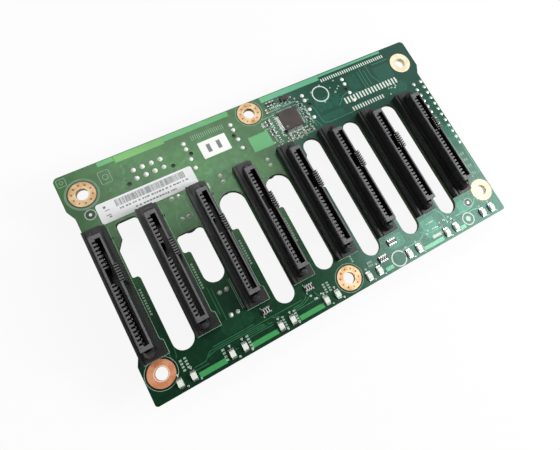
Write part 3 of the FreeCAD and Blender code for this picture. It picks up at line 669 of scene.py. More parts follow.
class GrowthTree:
    """A geometry tree with named inputs that turns a seed mesh into a finished one."""

    def __init__(self, name: str, **sockets: str) -> None:
        """Make the tree with its inputs.

        Args:
            name: Name of the node group.
            **sockets: Kind of each input, its label written with underscores.
        """
        self.group = bpy.data.node_groups.new(name, "GeometryNodeTree")
        face = self.group.interface
        face.new_socket("Geometry", in_out="OUTPUT", socket_type="NodeSocketGeometry")
        face.new_socket("Geometry", in_out="INPUT", socket_type="NodeSocketGeometry")
        self.keys = {}
        for label, kind in {**sockets, "Material": "Material"}.items():
            made = face.new_socket(label.replace("_", " "), in_out="INPUT", socket_type=f"NodeSocket{kind}")
            self.keys[label] = made.identifier
        self.graph = Graph(self.group)
        self.inputs = self.graph.add("NodeGroupInput").outputs

    def uneven(self, least: object, most: object) -> Socket:
        """Draw a random number for each copy, from the tree's seed."""
        limits = {2: least, 3: most, "Seed": self.inputs["Seed"]}
        return self.graph.add("FunctionNodeRandomValue", limits, data_type="FLOAT").outputs[1]

    def copies(self, points: Socket, form: Socket, **placing: Socket) -> Socket:
        """Stand a form on points; placing holds its Rotation or Scale."""
        inputs = {"Points": points, "Instance": form, **placing}
        return self.graph.add("GeometryNodeInstanceOnPoints", inputs).outputs[0]

    def close(self, geometry: Socket) -> None:
        """End the tree: realize what was instanced, give it its material and hand it out."""
        whole = self.graph.add("GeometryNodeRealizeInstances", {"Geometry": geometry}).outputs[0]
        dressed = self.graph.add("GeometryNodeSetMaterial",
                                 {"Geometry": whole, "Material": self.inputs["Material"]}).outputs[0]
        self.graph.add("NodeGroupOutput", {"Geometry": dressed})

    def grow(self, name: str, runs: list[Run], finish: Finish, **values: object) -> None:
        """Run the tree on a seed mesh and keep the plain result as a riding piece.

        Args:
            name: Name of the piece.
            runs: Points and edges that the tree works on.
            finish: Finish of the result.
            **values: Value of each input, its label written with underscores.
        """
        seed = seed_mesh(runs)
        piece = bpy.data.objects.new(name, seed)
        bpy.context.scene.collection.objects.link(piece)
        growth = piece.modifiers.new("growth", "NODES")
        growth.node_group = self.group
        for label, value in {**values, "Material": finish.material()}.items():
            growth[self.keys[label]] = value
        view = bpy.context.evaluated_depsgraph_get()
        grown = bpy.data.meshes.new_from_object(piece.evaluated_get(view))
        piece.modifiers.clear()
        piece.data = grown
        grown.name = name
        bpy.data.meshes.remove(seed)
        ride(piece, finish)


class RibbonTree(GrowthTree):
    """Flat ribbons along the edges of the seed mesh."""

    def __init__(self) -> None:
        """Sweep a flat rectangle along every run of edges."""
        super().__init__("ribbon_growth", Width="Float", Thickness="Float")
        graph, inputs = self.graph, self.inputs
        runs = graph.add("GeometryNodeMeshToCurve", {"Mesh": inputs["Geometry"]}).outputs[0]
        level = graph.add("GeometryNodeSetCurveNormal", {"Curve": runs}, mode="Z_UP").outputs[0]
        section = graph.add("GeometryNodeCurvePrimitiveQuadrilateral",
                            {0: inputs["Width"], 1: inputs["Thickness"]}, mode="RECTANGLE").outputs[0]
        swept = graph.add("GeometryNodeCurveToMesh",
                          {"Curve": level, "Profile Curve": section, "Fill Caps": True}).outputs[0]
        flat = graph.add("GeometryNodeSetShadeSmooth", {"Geometry": swept, "Shade Smooth": False})
        self.close(flat.outputs[0])


class StampTree(GrowthTree):
    """One stamp object repeated on every point of the seed mesh, with a little variety."""

    def __init__(self) -> None:
        """Instance the stamp on the points, scaled and turned within limits."""
        super().__init__("stamp_growth", Stamp="Object", Least_Scale="Float", Most_Scale="Float",
                         Turn="Float", Seed="Int")
        stamp = self.graph.add("GeometryNodeObjectInfo", {"Object": self.inputs["Stamp"]})
        size = self.uneven(self.inputs["Least Scale"], self.inputs["Most Scale"])
        spin = self.graph.vector(Z=self.uneven(0.0, self.inputs["Turn"]))
        form = stamp.outputs["Geometry"]
        self.close(self.copies(self.inputs["Geometry"], form, Rotation=spin, Scale=size))


class BarTree(GrowthTree):
    """A row of upright bars of uneven width, as on any coded label."""

    def __init__(self) -> None:
        """Stand thin boxes in a row, each with its own width from a fixed seed."""
        super().__init__("bar_growth", Count="Int", Pitch="Float", Height="Float", Thickness="Float",
                         Seed="Int")
        graph, inputs = self.graph, self.inputs
        offset = graph.vector(X=inputs["Pitch"])
        row = graph.add("GeometryNodeMeshLine", {"Count": inputs["Count"], "Offset": offset}, mode="OFFSET")
        size = graph.vector(X=inputs["Pitch"], Y=inputs["Height"], Z=inputs["Thickness"])
        upright = graph.add("GeometryNodeMeshCube", {"Size": size}).outputs[0]
        slim = graph.vector(X=self.uneven(0.2, 0.85), Y=1.0, Z=1.0)
        self.close(self.copies(inputs["Geometry"], self.copies(row.outputs[0], upright, Scale=slim)))


class Growth:
    """The geometry trees, made once."""

    def __init__(self) -> None:
        """Build every tree."""
        self.ribbon = RibbonTree()
        self.stamp = StampTree()
        self.bars = BarTree()


def ride(piece: bpy.types.Object, finish: Finish) -> None:
    """Let a piece ride on the board.

    Args:
        piece: The finished piece.
        finish: The finish that it carries; not used.
    """
    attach(piece, "root")
    LOG.info("%s: %d faces", piece.name, len(piece.data.polygons))


def placed(name: str, mesh: bpy.types.Mesh, finish: Finish) -> bpy.types.Object:
    """Make a riding piece of a mesh.

    Args:
        name: Name of the piece.
        mesh: Its mesh, in metres of the shared frame.
        finish: Its finish.

    Returns:
        The piece.
    """
    mesh.materials.append(finish.material())
    piece = bpy.data.objects.new(name, mesh)
    bpy.context.scene.collection.objects.link(piece)
    ride(piece, finish)
    return piece


def seed_mesh(runs: list[Run]) -> bpy.types.Mesh:
    """Make a mesh of edges without faces.

    Args:
        runs: The runs; one of a single point is a loose point.

    Returns:
        The mesh.
    """
    points, edges = [], []
    for run, closed in runs:
        first = len(points)
        points += [tuple(point) for point in run]
        edges += [(index, index + 1) for index in range(first, len(points) - 1)]
        if closed:
            edges.append((len(points) - 1, first))
    mesh = bpy.data.meshes.new("seed")
    mesh.from_pydata(points, edges, [])
    return mesh


def lathe(name: str, profile: Outline, count: int) -> bpy.types.Object:
    """Turn a profile round the upright axis into a hidden stamp.

    Args:
        name: Name of the stamp.
        profile: Radius and height of each profile point, from the axis outwards.
        count: Number of faces round the axis.

    Returns:
        The stamp, kept out of the scene so that only its copies show.
    """
    form = bmesh.new()
    rings = []
    for radius, height in profile:
        spots = disc((0.0, 0.0), radius, count if radius else 1)
        rings.append([form.verts.new(Vector((x, y, height)) * MM) for x, y in spots])
    for inner, outer in zip(rings, rings[1:]):
        for step in range(count):
            following = (step + 1) % count
            corners = [inner[step % len(inner)], outer[step % len(outer)]]
            corners += [outer[following]] if len(outer) > 1 else []
            corners += [inner[following]] if len(inner) > 1 else []
            form.faces.new(corners)
    bmesh.ops.recalc_face_normals(form, faces=form.faces)
    for face in form.faces:
        face.smooth = True
    mesh = bpy.data.meshes.new(name)
    form.to_mesh(mesh)
    form.free()
    return bpy.data.objects.new(name, mesh)


@dataclass(frozen=True)
class Stamp:
    """One small turned form, repeated with a little variety.

    Args:
        profile: Radius and height of each point, from the axis outwards.
        count: Number of faces round the axis.
        spread: How far the size of a copy may be from 1, either way.
        turn: Most turn of a copy in radians.
        seed: Seed of the variety.
    """

    profile: Outline
    count: int
    spread: float
    turn: float
    seed: int


@dataclass
class Work:
    """One kind of work on the board, and the ways in which its pieces are made.

    Args:
        layout: The board's axes.
        growth: The geometry trees.
    """

    layout: Layout
    growth: Growth

    def build(self) -> None:
        """Make the pieces of this work."""
        raise NotImplementedError

    def ribbons(self, name: str, runs: list[Run], finish: Finish, width: float, thick: float) -> None:
        """Lay flat ribbons along runs, half of their thickness over and half under them."""
        self.growth.ribbon.grow(name, runs, finish, Width=width * MM, Thickness=thick * MM)

    def stamps(self, name: str, spots: list[Point], finish: Finish, stamp: Stamp,
               height: float = 0.0) -> None:
        """Stand copies of a stamp on spots at a height over the front face.

        Args:
            name: Name of the piece.
            spots: Where the copies stand.
            finish: Their finish.
            stamp: Their form and variety.
            height: Height of their feet.
        """
        self.growth.stamp.grow(name, [self.layout.run([spot], height) for spot in spots], finish,
                               Stamp=lathe(f"{name}_stamp", stamp.profile, stamp.count),
                               Least_Scale=1 - stamp.spread, Most_Scale=1 + stamp.spread,
                               Turn=stamp.turn, Seed=stamp.seed)

    def plates(self, name: str, outlines: list[Outline], finish: Finish, thick: float,
               low: float = 0.0) -> None:
        """Make one piece of thin flat fields.

        Args:
            name: Name of the piece.
            outlines: Outline of each field, counter-clockwise seen from the front.
            finish: Finish of the piece.
            thick: Thickness of the fields.
            low: Their lower height over the front face.
        """
        points, faces = [], []
        for outline in outlines:
            first, count = len(points), len(outline)
            for height in (low, low + thick):
                points += [tuple(point) for point in self.layout.run(outline, height)[0]]
            faces.append([first + index for index in reversed(range(count))])
            faces.append([first + count + index for index in range(count)])
            for index in range(count):
                following = (index + 1) % count
                faces.append([first + index, first + following, first + count + following,
                              first + count + index])
        mesh = bpy.data.meshes.new(name)
        mesh.from_pydata(points, [], faces)
        placed(name, mesh, finish)


# ------------------------------ sub-assemblies


@dataclass(frozen=True)
class Dressing:
    """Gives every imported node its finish, by the start of the node's name."""

    by_start: tuple[tuple[Finish, tuple[str, ...]], ...] = (
        (Finishes.MASK, ("board",)), (Finishes.GOLD, ("drive_contacts", "cable_contacts")),
        (Finishes.PLASTIC, ("drive_connector", "power_header", "cable_core")),
        (Finishes.TIN, ("power_pins", "capacitor_leads", "controller_leads", "power_switch_leads",
                        "lamp_end_caps", "resistor_array_feet", "chip_part_end_caps")),
        (Finishes.STEEL, ("cable_cage",)), (Finishes.CAN, ("capacitor_cans",)),
        (Finishes.CHIP, ("controller_chip", "power_switch_chip")),
        (Finishes.LAMP_BASE, ("lamp_bases",)), (Finishes.LAMP_LENS, ("lamp_lenses",)),
        (Finishes.GLAZE, ("resistor_arrays", "chip_resistors")), (Finishes.CERAMIC, ("chip_capacitors",)),
        (Finishes.PAPER, ("code_label",)), (Finishes.TAG, ("white_tag",)))

    def apply(self) -> None:
        """Put the finish of each node into its own material slots."""
        for name, node in FRAME["nodes"].items():
            finish = next(finish for finish, starts in self.by_start if name.startswith(starts))
            for slot in node.material_slots:
                slot.material = finish.material()
            LOG.info("%s wears %s", name, finish.name)


class PadTone(Enum):
    """How the plating of a screw pad looks."""

    COPPER = Finishes.PAD_COPPER
    GOLD = Finishes.PAD_GOLD
    PALE = Finishes.PAD_PALE


@dataclass
class ScrewPads(Work):
    """Plated rings round the screw holes, with sleeves, stitching vias and printed rings."""

    hole: float = 2.0
    plated: float = 4.1
    gap_ring: float = 4.24
    gap_width: float = 0.34
    printed_ring: float = 4.75
    stroke: float = 0.14
    lip: float = 0.24
    film: float = 0.05
    sleeve: float = 0.08
    edge_margin: float = 0.3
    via_circle: float = 3.1
    via_count: int = 10

    TONES = {"lower_left": PadTone.COPPER, "upper_left": PadTone.GOLD, "upper_middle": PadTone.GOLD,
             "lower_middle": PadTone.GOLD, "upper_right": PadTone.PALE, "lower_right": PadTone.PALE}
    VIA = Stamp([(0.0, 0.012), (0.22, 0.014), (0.3, 0.0)], 10, 0.1, 0.5, 3)

    def seats(self) -> dict[str, Point]:
        """Find the screw holes among the record's mounts.

        Returns:
            The middle of each hole, by where it is.
        """
        found = {}
        for mount in FRAME["record"]["mounts"]:
            place = self.layout.back_of(Vector(mount["pos_m"]))
            if mount["kind"] == "bolt_pattern":
                half = mount["dims"]["spacing_x_mm"] / 2
                found["upper_left"] = (place[0] - half, place[1])
                found["upper_right"] = (place[0] + half, place[1])
            elif mount["kind"] == "bore":
                found[mount["name"].replace("_screw_hole", "")] = place
        return found

    def open_ring(self, seat: Point, radius: float, height: float = 0.0) -> Run:
        """Run along the part of a ring that stays clear of the board's upper edge.

        Args:
            seat: Middle of the ring.
            radius: Its radius.
            height: Its height over the front face.

        Returns:
            The open run.
        """
        points = arc(seat, radius, (math.radians(turn) for turn in range(92, 449, 4)))
        limit = self.layout.height - self.edge_margin
        return self.layout.run([point for point in points if point[1] < limit], height)

    def plating(self, seats: dict[str, Point], faces: Point) -> None:
        """Make the rings on both faces and the sleeves through the board.

        Args:
            seats: The middle of each hole, by where it is.
            faces: Heights of the board's two faces.
        """
        ring, thickness = self.layout.ring, self.layout.thickness
        for kind in PadTone:
            name, finish = kind.name.lower(), kind.value
            chosen = [seats[seat] for seat, tone_of_seat in self.TONES.items() if tone_of_seat is kind]
            rings = [ring(seat, (self.hole + self.plated) / 2, face) for seat in chosen for face in faces]
            self.ribbons(f"screw_pads_{name}", rings, finish, self.plated - self.hole, 2 * self.film)
            sleeves = [ring(seat, self.hole - self.sleeve / 2, -thickness / 2, 40) for seat in chosen]
            self.ribbons(f"screw_sleeves_{name}", sleeves, finish, self.sleeve, thickness + 2 * self.film)

    def build(self) -> None:
        """Make the rings, sleeves, vias and printed circles of all six holes."""
        ring = self.layout.ring
        seats, faces = self.seats(), (0.0, -self.layout.thickness)
        self.plating(seats, faces)
        middle = seats["upper_middle"]
        gaps = [ring(seat, self.gap_ring, face)
                for seat in seats.values() if seat is not middle for face in faces]
        gaps += [self.open_ring(middle, self.gap_ring, face) for face in faces]
        self.ribbons("screw_pad_gaps", gaps, Finishes.DEEP, self.gap_width, 0.04)
        printed = [ring(seats[name], radius) for name, radius in (
            ("upper_left", self.printed_ring), ("lower_left", self.printed_ring),
            ("lower_middle", self.printed_ring), ("upper_left", self.printed_ring + 0.35),
            ("lower_right", self.plated + 0.25))]
        self.ribbons("screw_pad_print", printed, Finishes.FAINT_PRINT, self.stroke, 0.05)
        self.ribbons("screw_pad_open_print", [self.open_ring(middle, self.printed_ring)],
                     Finishes.FAINT_PRINT, self.stroke, 0.05)
        lips = [ring(seat, self.hole + 0.16, self.film, 48) for seat in seats.values()]
        self.ribbons("screw_pad_lips", lips, Finishes.PAD_PALE, self.lip, 0.05)
        turns = [math.tau * (index + 0.5) / self.via_count for index in range(self.via_count)]
        vias = [spot for name, kind in self.TONES.items() if kind is PadTone.GOLD
                for spot in arc(seats[name], self.via_circle, turns)]
        # Painted shade: the vias are darker than the pads round them, for their dimples.
        self.stamps("screw_pad_vias", vias, Finishes.PAD_VIA, self.VIA, self.film)


@dataclass
class CopperWork(Work):
    """Copper under the lacquer: pale bare strips, fields, lines and the small vias along them."""

    film: float = 0.018
    field_film: float = 0.6 * 0.018
    line_width: float = 0.26
    broad_width: float = 0.8
    pair_width: float = 0.16
    slant: float = 1.1
    lane_pitch: float = 0.34
    cable_pitch: float = 3.6
    pair_entry: float = 3.4
    pair_end: float = 51.0
    pair_slant: float = 0.8
    drilling: float = 0.5
    drilling_ring: float = 0.62
    mark_dot: float = 0.5
    mark_ground: float = 1.3
    mark_ring: float = 1.62
    pad_pitch: float = 2.53

    RING = Stamp([(0.14, 0.02), (0.15, 0.035), (0.27, 0.035), (0.31, 0.0)], 10, 0.15, 1.0, 9)
    PIT = Stamp([(0.0, 0.008), (0.16, 0.008)], 8, 0.15, 1.0, 9)
    TEST_PAD = Stamp([(0.0, 0.2), (0.3, 0.17), (0.52, 0.08), (0.66, 0.0)], 16, 0.08, 2.0, 4)
    LINES = (
        [(12.3, 4.65), (16.9, 4.65), (16.9, 6.65), (49.6, 6.65)], [(12.3, 3.7), (16.4, 3.7)],
        [(16.9, 5.3), (18.6, 6.1), (35.6, 6.1), (36.8, 5.1), (38.2, 5.1)],
        [(29.2, 5.55), (37.0, 5.55)], [(30.2, 5.0), (36.4, 5.0)], [(24.8, 3.4), (25.9, 3.4)],
        [(45.9, 5.2), (50.4, 5.2), (51.8, 6.7), (53.0, 6.7)], [(45.9, 5.75), (50.0, 5.75), (51.3, 7.2)],
        [(54.2, 7.1), (54.6, 5.7), (55.4, 4.9)], [(38.6, 7.0), (38.6, 6.0), (41.4, 6.0), (41.4, 3.0)],
        [(46.0, 4.6), (55.0, 4.6)], [(19.4, 7.3), (33.0, 7.3)], [(30.0, 4.4), (38.2, 4.4)],
        [(85.6, 65.6), (86.9, 64.4), (86.9, 58.2), (88.1, 57.1), (99.4, 57.1)],
        [(84.4, 60.0), (85.7, 58.4), (85.7, 56.4)], [(83.2, 66.8), (84.2, 65.8), (84.2, 57.6)],
        [(108.0, 61.8), (109.2, 63.0), (109.2, 71.0)], [(110.4, 63.6), (110.4, 71.6)],
        [(113.5, 72.0), (113.5, 66.2), (115.3, 64.4), (115.3, 62.8)], [(111.9, 64.0), (111.9, 70.4)],
        [(103.0, 63.6), (106.0, 63.6), (107.2, 62.4)], [(95.6, 61.0), (99.6, 64.8), (101.2, 64.8)],
        [(116.0, 71.2), (123.2, 71.2)], [(105.4, 5.4), (98.8, 5.4), (97.0, 7.2)],
        [(88.2, 4.9), (96.4, 4.9), (98.4, 6.9)], [(106.0, 12.0), (108.4, 9.4), (108.4, 6.2)],
        [(118.0, 5.2), (121.0, 5.2), (122.2, 4.4)], [(112.4, 6.2), (120.4, 6.2), (123.6, 9.2)],
        [(127.4, 15.4), (127.4, 33.0)], [(130.9, 37.2), (130.9, 16.0)],
        [(42.2, 57.4), (40.4, 55.8)], [(28.0, 50.0), (26.6, 48.6), (26.6, 43.0)],
        [(31.6, 54.4), (31.6, 46.0)], [(25.4, 24.0), (25.4, 14.6)], [(26.4, 23.4), (26.4, 12.4)],
        [(7.6, 9.2), (7.6, 12.4)], [(8.8, 9.6), (9.4, 10.4), (9.4, 12.6)])
    BROAD_LINES = (
        [(18.9, 72.4), (18.6, 68.6), (17.6, 65.8), (15.0, 63.2)], [(38.2, 66.0), (35.4, 63.2)],
        [(12.8, 64.4), (12.4, 68.0), (14.6, 71.4)], [(55.2, 57.0), (58.8, 60.6), (58.8, 66.0)])

    def fields(self) -> None:
        """Lay the pale strips where the board has no copper, and the brighter copper fields."""
        pours = oblongs(
            (34.0, 73.7, 57.6, 75.55), (12.2, 74.0, 17.4, 75.5), (70.2, 73.5, 94.0, 75.55),
            (94.0, 74.6, 122.0, 75.5), (59.6, 57.6, 67.0, 63.4, 0.3), (12.6, 1.1, 21.2, 2.75),
            (29.6, 1.1, 38.6, 2.7), (46.4, 1.1, 55.2, 2.7), (79.4, 1.1, 82.4, 2.4),
            (95.6, 0.9, 104.0, 2.2), (111.8, 0.9, 114.0, 2.2))
        self.plates("bare_strips", pours, Finishes.POUR, self.film)
        self.plates("warm_strip", [oblong(17.6, 73.1, 34.0, 75.5)], Finishes.POUR_WARM, self.film)
        fields = [
            # The first field, at the lower left, is copper under the lacquer and also brightens it there as
            # a painted reflection.
            *oblongs((23.6, 7.8, 34.2, 12.6, 2.2), (41.0, 56.2, 49.6, 59.6, 1.2)),
            [(50.4, 57.8), (51.8, 56.6), (57.4, 62.2), (57.4, 64.6)],
            *oblongs((1.2, 51.0, 5.4, 55.4, 0.8), (86.9, 57.6, 96.6, 60.2, 1.0),
                     (87.6, 61.4, 98.2, 66.8, 1.4), (116.8, 56.6, 124.8, 61.2, 1.6),
                     (98.6, 3.6, 104.6, 10.4, 1.2), (114.8, 5.8, 118.4, 10.2, 1.0),
                     (84.4, 6.4, 90.6, 11.2, 1.2), (127.0, 30.6, 131.6, 37.6, 0.8),
                     (103.4, 64.4, 107.8, 70.8, 0.4), (115.4, 63.6, 122.6, 69.8, 0.4))]
        self.plates("copper_fields", fields, Finishes.FIELD, self.field_film)

    def lines(self) -> None:
        """Run the copper lines of the front, bent by slants."""
        for name, routes, finish, width in (
                ("front_lines", self.LINES, Finishes.TRACE, self.line_width),
                ("front_broad_lines", self.BROAD_LINES, Finishes.FIELD, self.broad_width)):
            runs = [self.layout.run(eased(route, self.slant)) for route in routes]
            self.ribbons(name, runs, finish, width, 2 * self.film)

    def drive_pairs(self) -> None:
        """Run the paired lines on the back, from the cable connectors down to the drive connectors."""
        runs = []
        for bay in range(BAYS):
            low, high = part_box("cable_cage_left" if bay < 4 else "cable_cage_right")
            middle, floor = self.layout.back_of((low + high) / 2)[0], self.layout.back_of(low)[1]
            start = middle + (bay % 4 - 1.5) * self.cable_pitch
            seat = self.layout.bay(bay) + self.pair_entry
            side = 1 if seat < start else -1
            rank = bay % 4 if side < 0 else 3 - bay % 4
            for pair in range(2):
                for lane in range(2):
                    aside = (pair * 1.0 + lane * self.lane_pitch) * side
                    level = floor - 0.9 - (3 - rank) * 1.1 - pair * 0.5 - lane * self.lane_pitch / 2
                    route = [(start + aside, floor + 2.0), (start + aside, level), (seat + aside, level),
                             (seat + aside, self.pair_end)]
                    runs.append(self.layout.run(eased(route, self.pair_slant), -self.layout.thickness))
        self.ribbons("drive_pairs", runs, Finishes.TRACE, self.pair_width, 2 * self.film)

    def power_fields(self) -> None:
        """Lay the broad supply copper on the back, along the board's lower and upper edges."""
        fields = oblongs((8.6, 3.4, 62.0, 6.6, 0.8), (72.0, 3.4, 122.4, 6.6, 0.8),
                         (11.0, 57.4, 36.4, 62.4, 1.0), (59.0, 66.6, 59.8, 74.6),
                         (104.6, 61.4, 121.6, 74.2, 1.0), (9.8, 71.6, 17.6, 74.8, 0.6))
        self.plates("back_copper_fields", fields, Finishes.FIELD, self.field_film,
                    -self.layout.thickness - self.field_film)

    def vias(self) -> None:
        """Set the small plated holes along the lines, on both faces."""
        draw = random.Random(21)
        drilled = [(7.0, 50.6), (23.5, 50.6), (40.1, 50.6), (56.6, 50.6)]
        # Painted shade: dark discs stand for the inside of the open drillings.
        self.plates("open_drillings", [disc(spot, self.drilling) for spot in drilled], Finishes.HOLE, 0.02)
        rings = [self.layout.ring(spot, self.drilling_ring, 0.0, 20) for spot in drilled]
        self.ribbons("drilling_rings", rings, Finishes.TRACE, 0.16, 0.03)
        front = [(self.layout.bay(bay) + lamp + 1.55, 0.95) for bay in range(BAYS) for lamp in LAMPS]
        front += scattered(
            draw, (65.6, 63.0, 70.4, 66.4, 4), (67.4, 56.2, 71.0, 61.4, 5), (71.6, 55.8, 82.0, 58.0, 4),
            (81.6, 58.0, 84.0, 71.4, 6), (72.0, 69.4, 76.4, 73.0, 3), (98.6, 5.4, 110.4, 7.6, 9),
            (115.0, 56.6, 124.4, 62.0, 8), (88.0, 64.0, 100.0, 71.6, 8), (52.4, 4.2, 57.0, 7.0, 6))
        back = scattered(
            draw, (9.0, 3.6, 62.0, 6.4, 30), (72.0, 3.6, 122.0, 6.4, 28), (12.0, 57.6, 36.0, 62.0, 22),
            (105.0, 62.0, 121.0, 74.0, 26), (24.6, 13.0, 27.2, 22.6, 6))
        self.stamps("front_via_rings", front, Finishes.PAD_TIN, self.RING)
        # Painted shade: a dark disc stands for each via's pit.
        self.stamps("front_via_pits", front, Finishes.HOLE, self.PIT)
        self.stamps("back_via_rings", back, Finishes.PAD_TIN, self.RING, -self.layout.thickness - 0.035)

    def side_pads(self) -> None:
        """Set the two rows of tinned test pads beside the last drive connector."""
        spots = [(x, 57.4 - self.pad_pitch * step)
                 for x, count in ((127.4, 8), (130.7, 12)) for step in range(count)]
        self.stamps("side_test_pads", spots, Finishes.PAD_TIN, self.TEST_PAD)

    def aiming_marks(self) -> None:
        """Set the two bare dots in dark rings that a placing machine aims at."""
        marks = ((4.4, 60.4), (119.7, 8.2))
        self.plates("aiming_grounds", [disc(mark, self.mark_ground) for mark in marks], Finishes.DEEP, 0.012)
        self.plates("aiming_dots", [disc(mark, self.mark_dot, 16) for mark in marks], Finishes.PAD_TIN, 0.03)
        rings = [self.layout.ring(mark, self.mark_ring, 0.0, 32) for mark in marks]
        self.ribbons("aiming_rings", rings, Finishes.PRINT, 0.15, 0.04)

    def build(self) -> None:
        """Make all copper and what goes with it."""
        self.fields()
        self.lines()
        self.drive_pairs()
        self.power_fields()
        self.vias()
        self.side_pads()
        self.aiming_marks()


@dataclass
class Printing(Work):
    """White print of the board: outlines, rings, bars and plain dashes, with no lettering."""

    film: float = 0.03
    stroke: float = 0.17
    bold_stroke: float = 0.42
    edge_margin: float = 0.4
    can_ring: float = 3.38
    chip_margin: float = 0.25
    chip_corner: float = 0.9

    FAINT_DASHES = (
        (9.1, 4.9, 9.9, 8.8, 4), (10.5, 5.2, 11.3, 8.9, 4), (21.0, 1.4, 21.9, 5.6, 4),
        (29.0, 0.9, 29.9, 5.6, 5), (41.3, 1.0, 42.0, 5.4, 5), (45.3, 1.0, 46.2, 5.4, 5),
        (57.5, 4.6, 58.3, 8.1, 4), (58.9, 4.6, 59.7, 8.1, 4), (74.4, 6.3, 76.4, 7.1, 3),
        (74.4, 5.2, 76.4, 5.9, 3), (94.9, 1.2, 95.6, 4.6, 4), (87.9, 4.6, 90.4, 5.2, 3),
        (104.6, 4.9, 106.6, 5.5, 3), (109.0, 4.9, 111.6, 5.5, 3), (126.9, 16.2, 129.6, 17.2, 3),
        (126.9, 19.4, 129.6, 20.4, 3), (126.9, 22.0, 129.6, 23.0, 3), (126.9, 24.6, 129.6, 25.6, 3),
        (70.2, 9.2, 70.9, 11.8, 3), (88.6, 8.0, 89.2, 9.8, 2),
        (36.6, 7.2, 36.9, 10.9, 4), (51.8, 7.2, 52.1, 10.9, 4), (84.4, 7.2, 84.7, 10.9, 4),
        (70.8, 69.0, 75.4, 69.5, 8), (81.3, 60.0, 81.7, 68.2, 13), (68.3, 58.0, 68.9, 66.0, 12),
        (71.6, 56.2, 83.2, 56.7, 19), (66.2, 63.4, 69.6, 63.9, 6), (83.4, 59.0, 83.9, 66.4, 11),
        (76.4, 69.2, 81.8, 69.6, 9), (84.6, 68.0, 86.6, 68.5, 4), (67.2, 67.4, 71.6, 67.8, 7))

    def outlines(self) -> None:
        """Draw the outlines of the drive connectors and of the chip, and plain rings and boxes."""
        run, ring = self.layout.run, self.layout.ring
        runs = []
        for bay in range(BAYS):
            left = self.layout.bay(bay)
            if bay < 4:
                runs.append(run([(left + 6.95, 54.6), (left + 6.95, 17.0), (left + 7.8, 16.2),
                                 (left + 7.8, 12.0)]))
            runs.append(run([(left + 7.8, 11.85), (left, 11.85)]))
            if bay == 2:
                runs += [run([(left - aside, high), (left - aside, low)])
                         for aside in (0.45, 0.95) for high, low in ((23.4, 13.0), (54.4, 45.2))]
            if bay > 3:
                runs.append(run([(left + 6.85, 55.4), (left + 6.85, 52.6)]))
        boxes = oblongs((-0.7, 72.3, 1.9, 74.9, 0.3), (11.2, 67.9, 14.6, 72.2, 0.4))
        runs += [run(box, closed=True) for box in boxes]
        runs += [ring((0.6, 73.6), 0.55, count=16), ring((13.0, 70.0), 0.9, count=20)]
        left, low, right, high = self.layout.sides("controller_leads")
        for x, y, inward_x, inward_y in ((left, low, 1, 1), (right, low, -1, 1), (right, high, -1, -1),
                                         (left, high, 1, -1)):
            out_x, out_y = x - self.chip_margin * inward_x, y - self.chip_margin * inward_y
            runs.append(run([(x + self.chip_corner * inward_x, out_y), (out_x, out_y),
                             (out_x, y + self.chip_corner * inward_y)]))
        self.ribbons("printed_outlines", runs, Finishes.FAINT_PRINT, self.stroke, 2 * self.film)
        bold = [ring((91.7, 68.3), 3.05, count=48), ring((85.5, 3.0), 2.6, count=40),
                ring((116.3, 3.2), 2.2, count=40)]
        self.ribbons("printed_rings", bold, Finishes.PRINT, self.bold_stroke, 2 * self.film)

    def bars(self) -> None:
        """Print the plain bars and dashes, in rows where the board is marked."""
        lefts = [self.layout.bay(bay) for bay in range(BAYS)]
        fields = oblongs((100.4, 3.0, 104.9, 4.1, 0.2), (23.4, 13.0, 23.9, 15.2),
                         (40.15, 13.0, 40.65, 15.2), (40.15, 52.5, 40.65, 54.7))
        fields.append(disc((116.3, 3.2), 0.95, 20))
        for row in ((98.4, 60.8, 122.2, 63.2, 18, 0.5), (99.6, 57.2, 113.8, 58.8, 13, 0.48),
                    (94.2, 72.3, 122.4, 73.6, 30, 0.48)):
            fields += dashes(*row)
        fields += [bar(101.0, 8.6, 0.5, 0.3), bar(102.7, 8.6, 2.2, 0.3), bar(102.7, 6.2, 2.2, 0.3)]
        for x in (left + lamp for left in lefts for lamp in LAMPS):
            fields += [bar(x + 0.05, 5.15, 0.26, 0.8), bar(x + 0.05, 5.3, 0.8, 0.2)]
        self.plates("printed_bars", fields, Finishes.PRINT, self.film)
        faint = dashes(42.2, 70.2, 54.2, 71.9, 17, 0.3)
        for row in (*self.FAINT_DASHES, *((left + 7.45, 24.0, left + 8.1, 33.0, 10, 0.6)
                                          for left in lefts[:4])):
            faint += dashes(*row)
        self.plates("printed_dashes", faint, Finishes.FAINT_PRINT, self.film)

    def back(self) -> None:
        """Print the outlines of what stands on the back."""
        level = -self.layout.thickness
        runs = []
        for node, margin in (("power_header", 0.5), ("cable_cage_left", 0.45), ("cable_cage_right", 0.45)):
            left, low, right, high = self.layout.sides(node)
            box = oblong(left - margin, low - margin, right + margin,
                         min(high + margin, self.layout.height - self.edge_margin))
            runs.append(self.layout.run(box, level, True))
        runs += [self.layout.ring(seat, self.can_ring, level, 48)
                 for seat in self.layout.clusters("capacitor_leads", CAN_REACH)]
        self.ribbons("back_printed_outlines", runs, Finishes.PRINT, self.stroke, 2 * self.film)

    def build(self) -> None:
        """Print both faces."""
        self.outlines()
        self.bars()
        self.back()


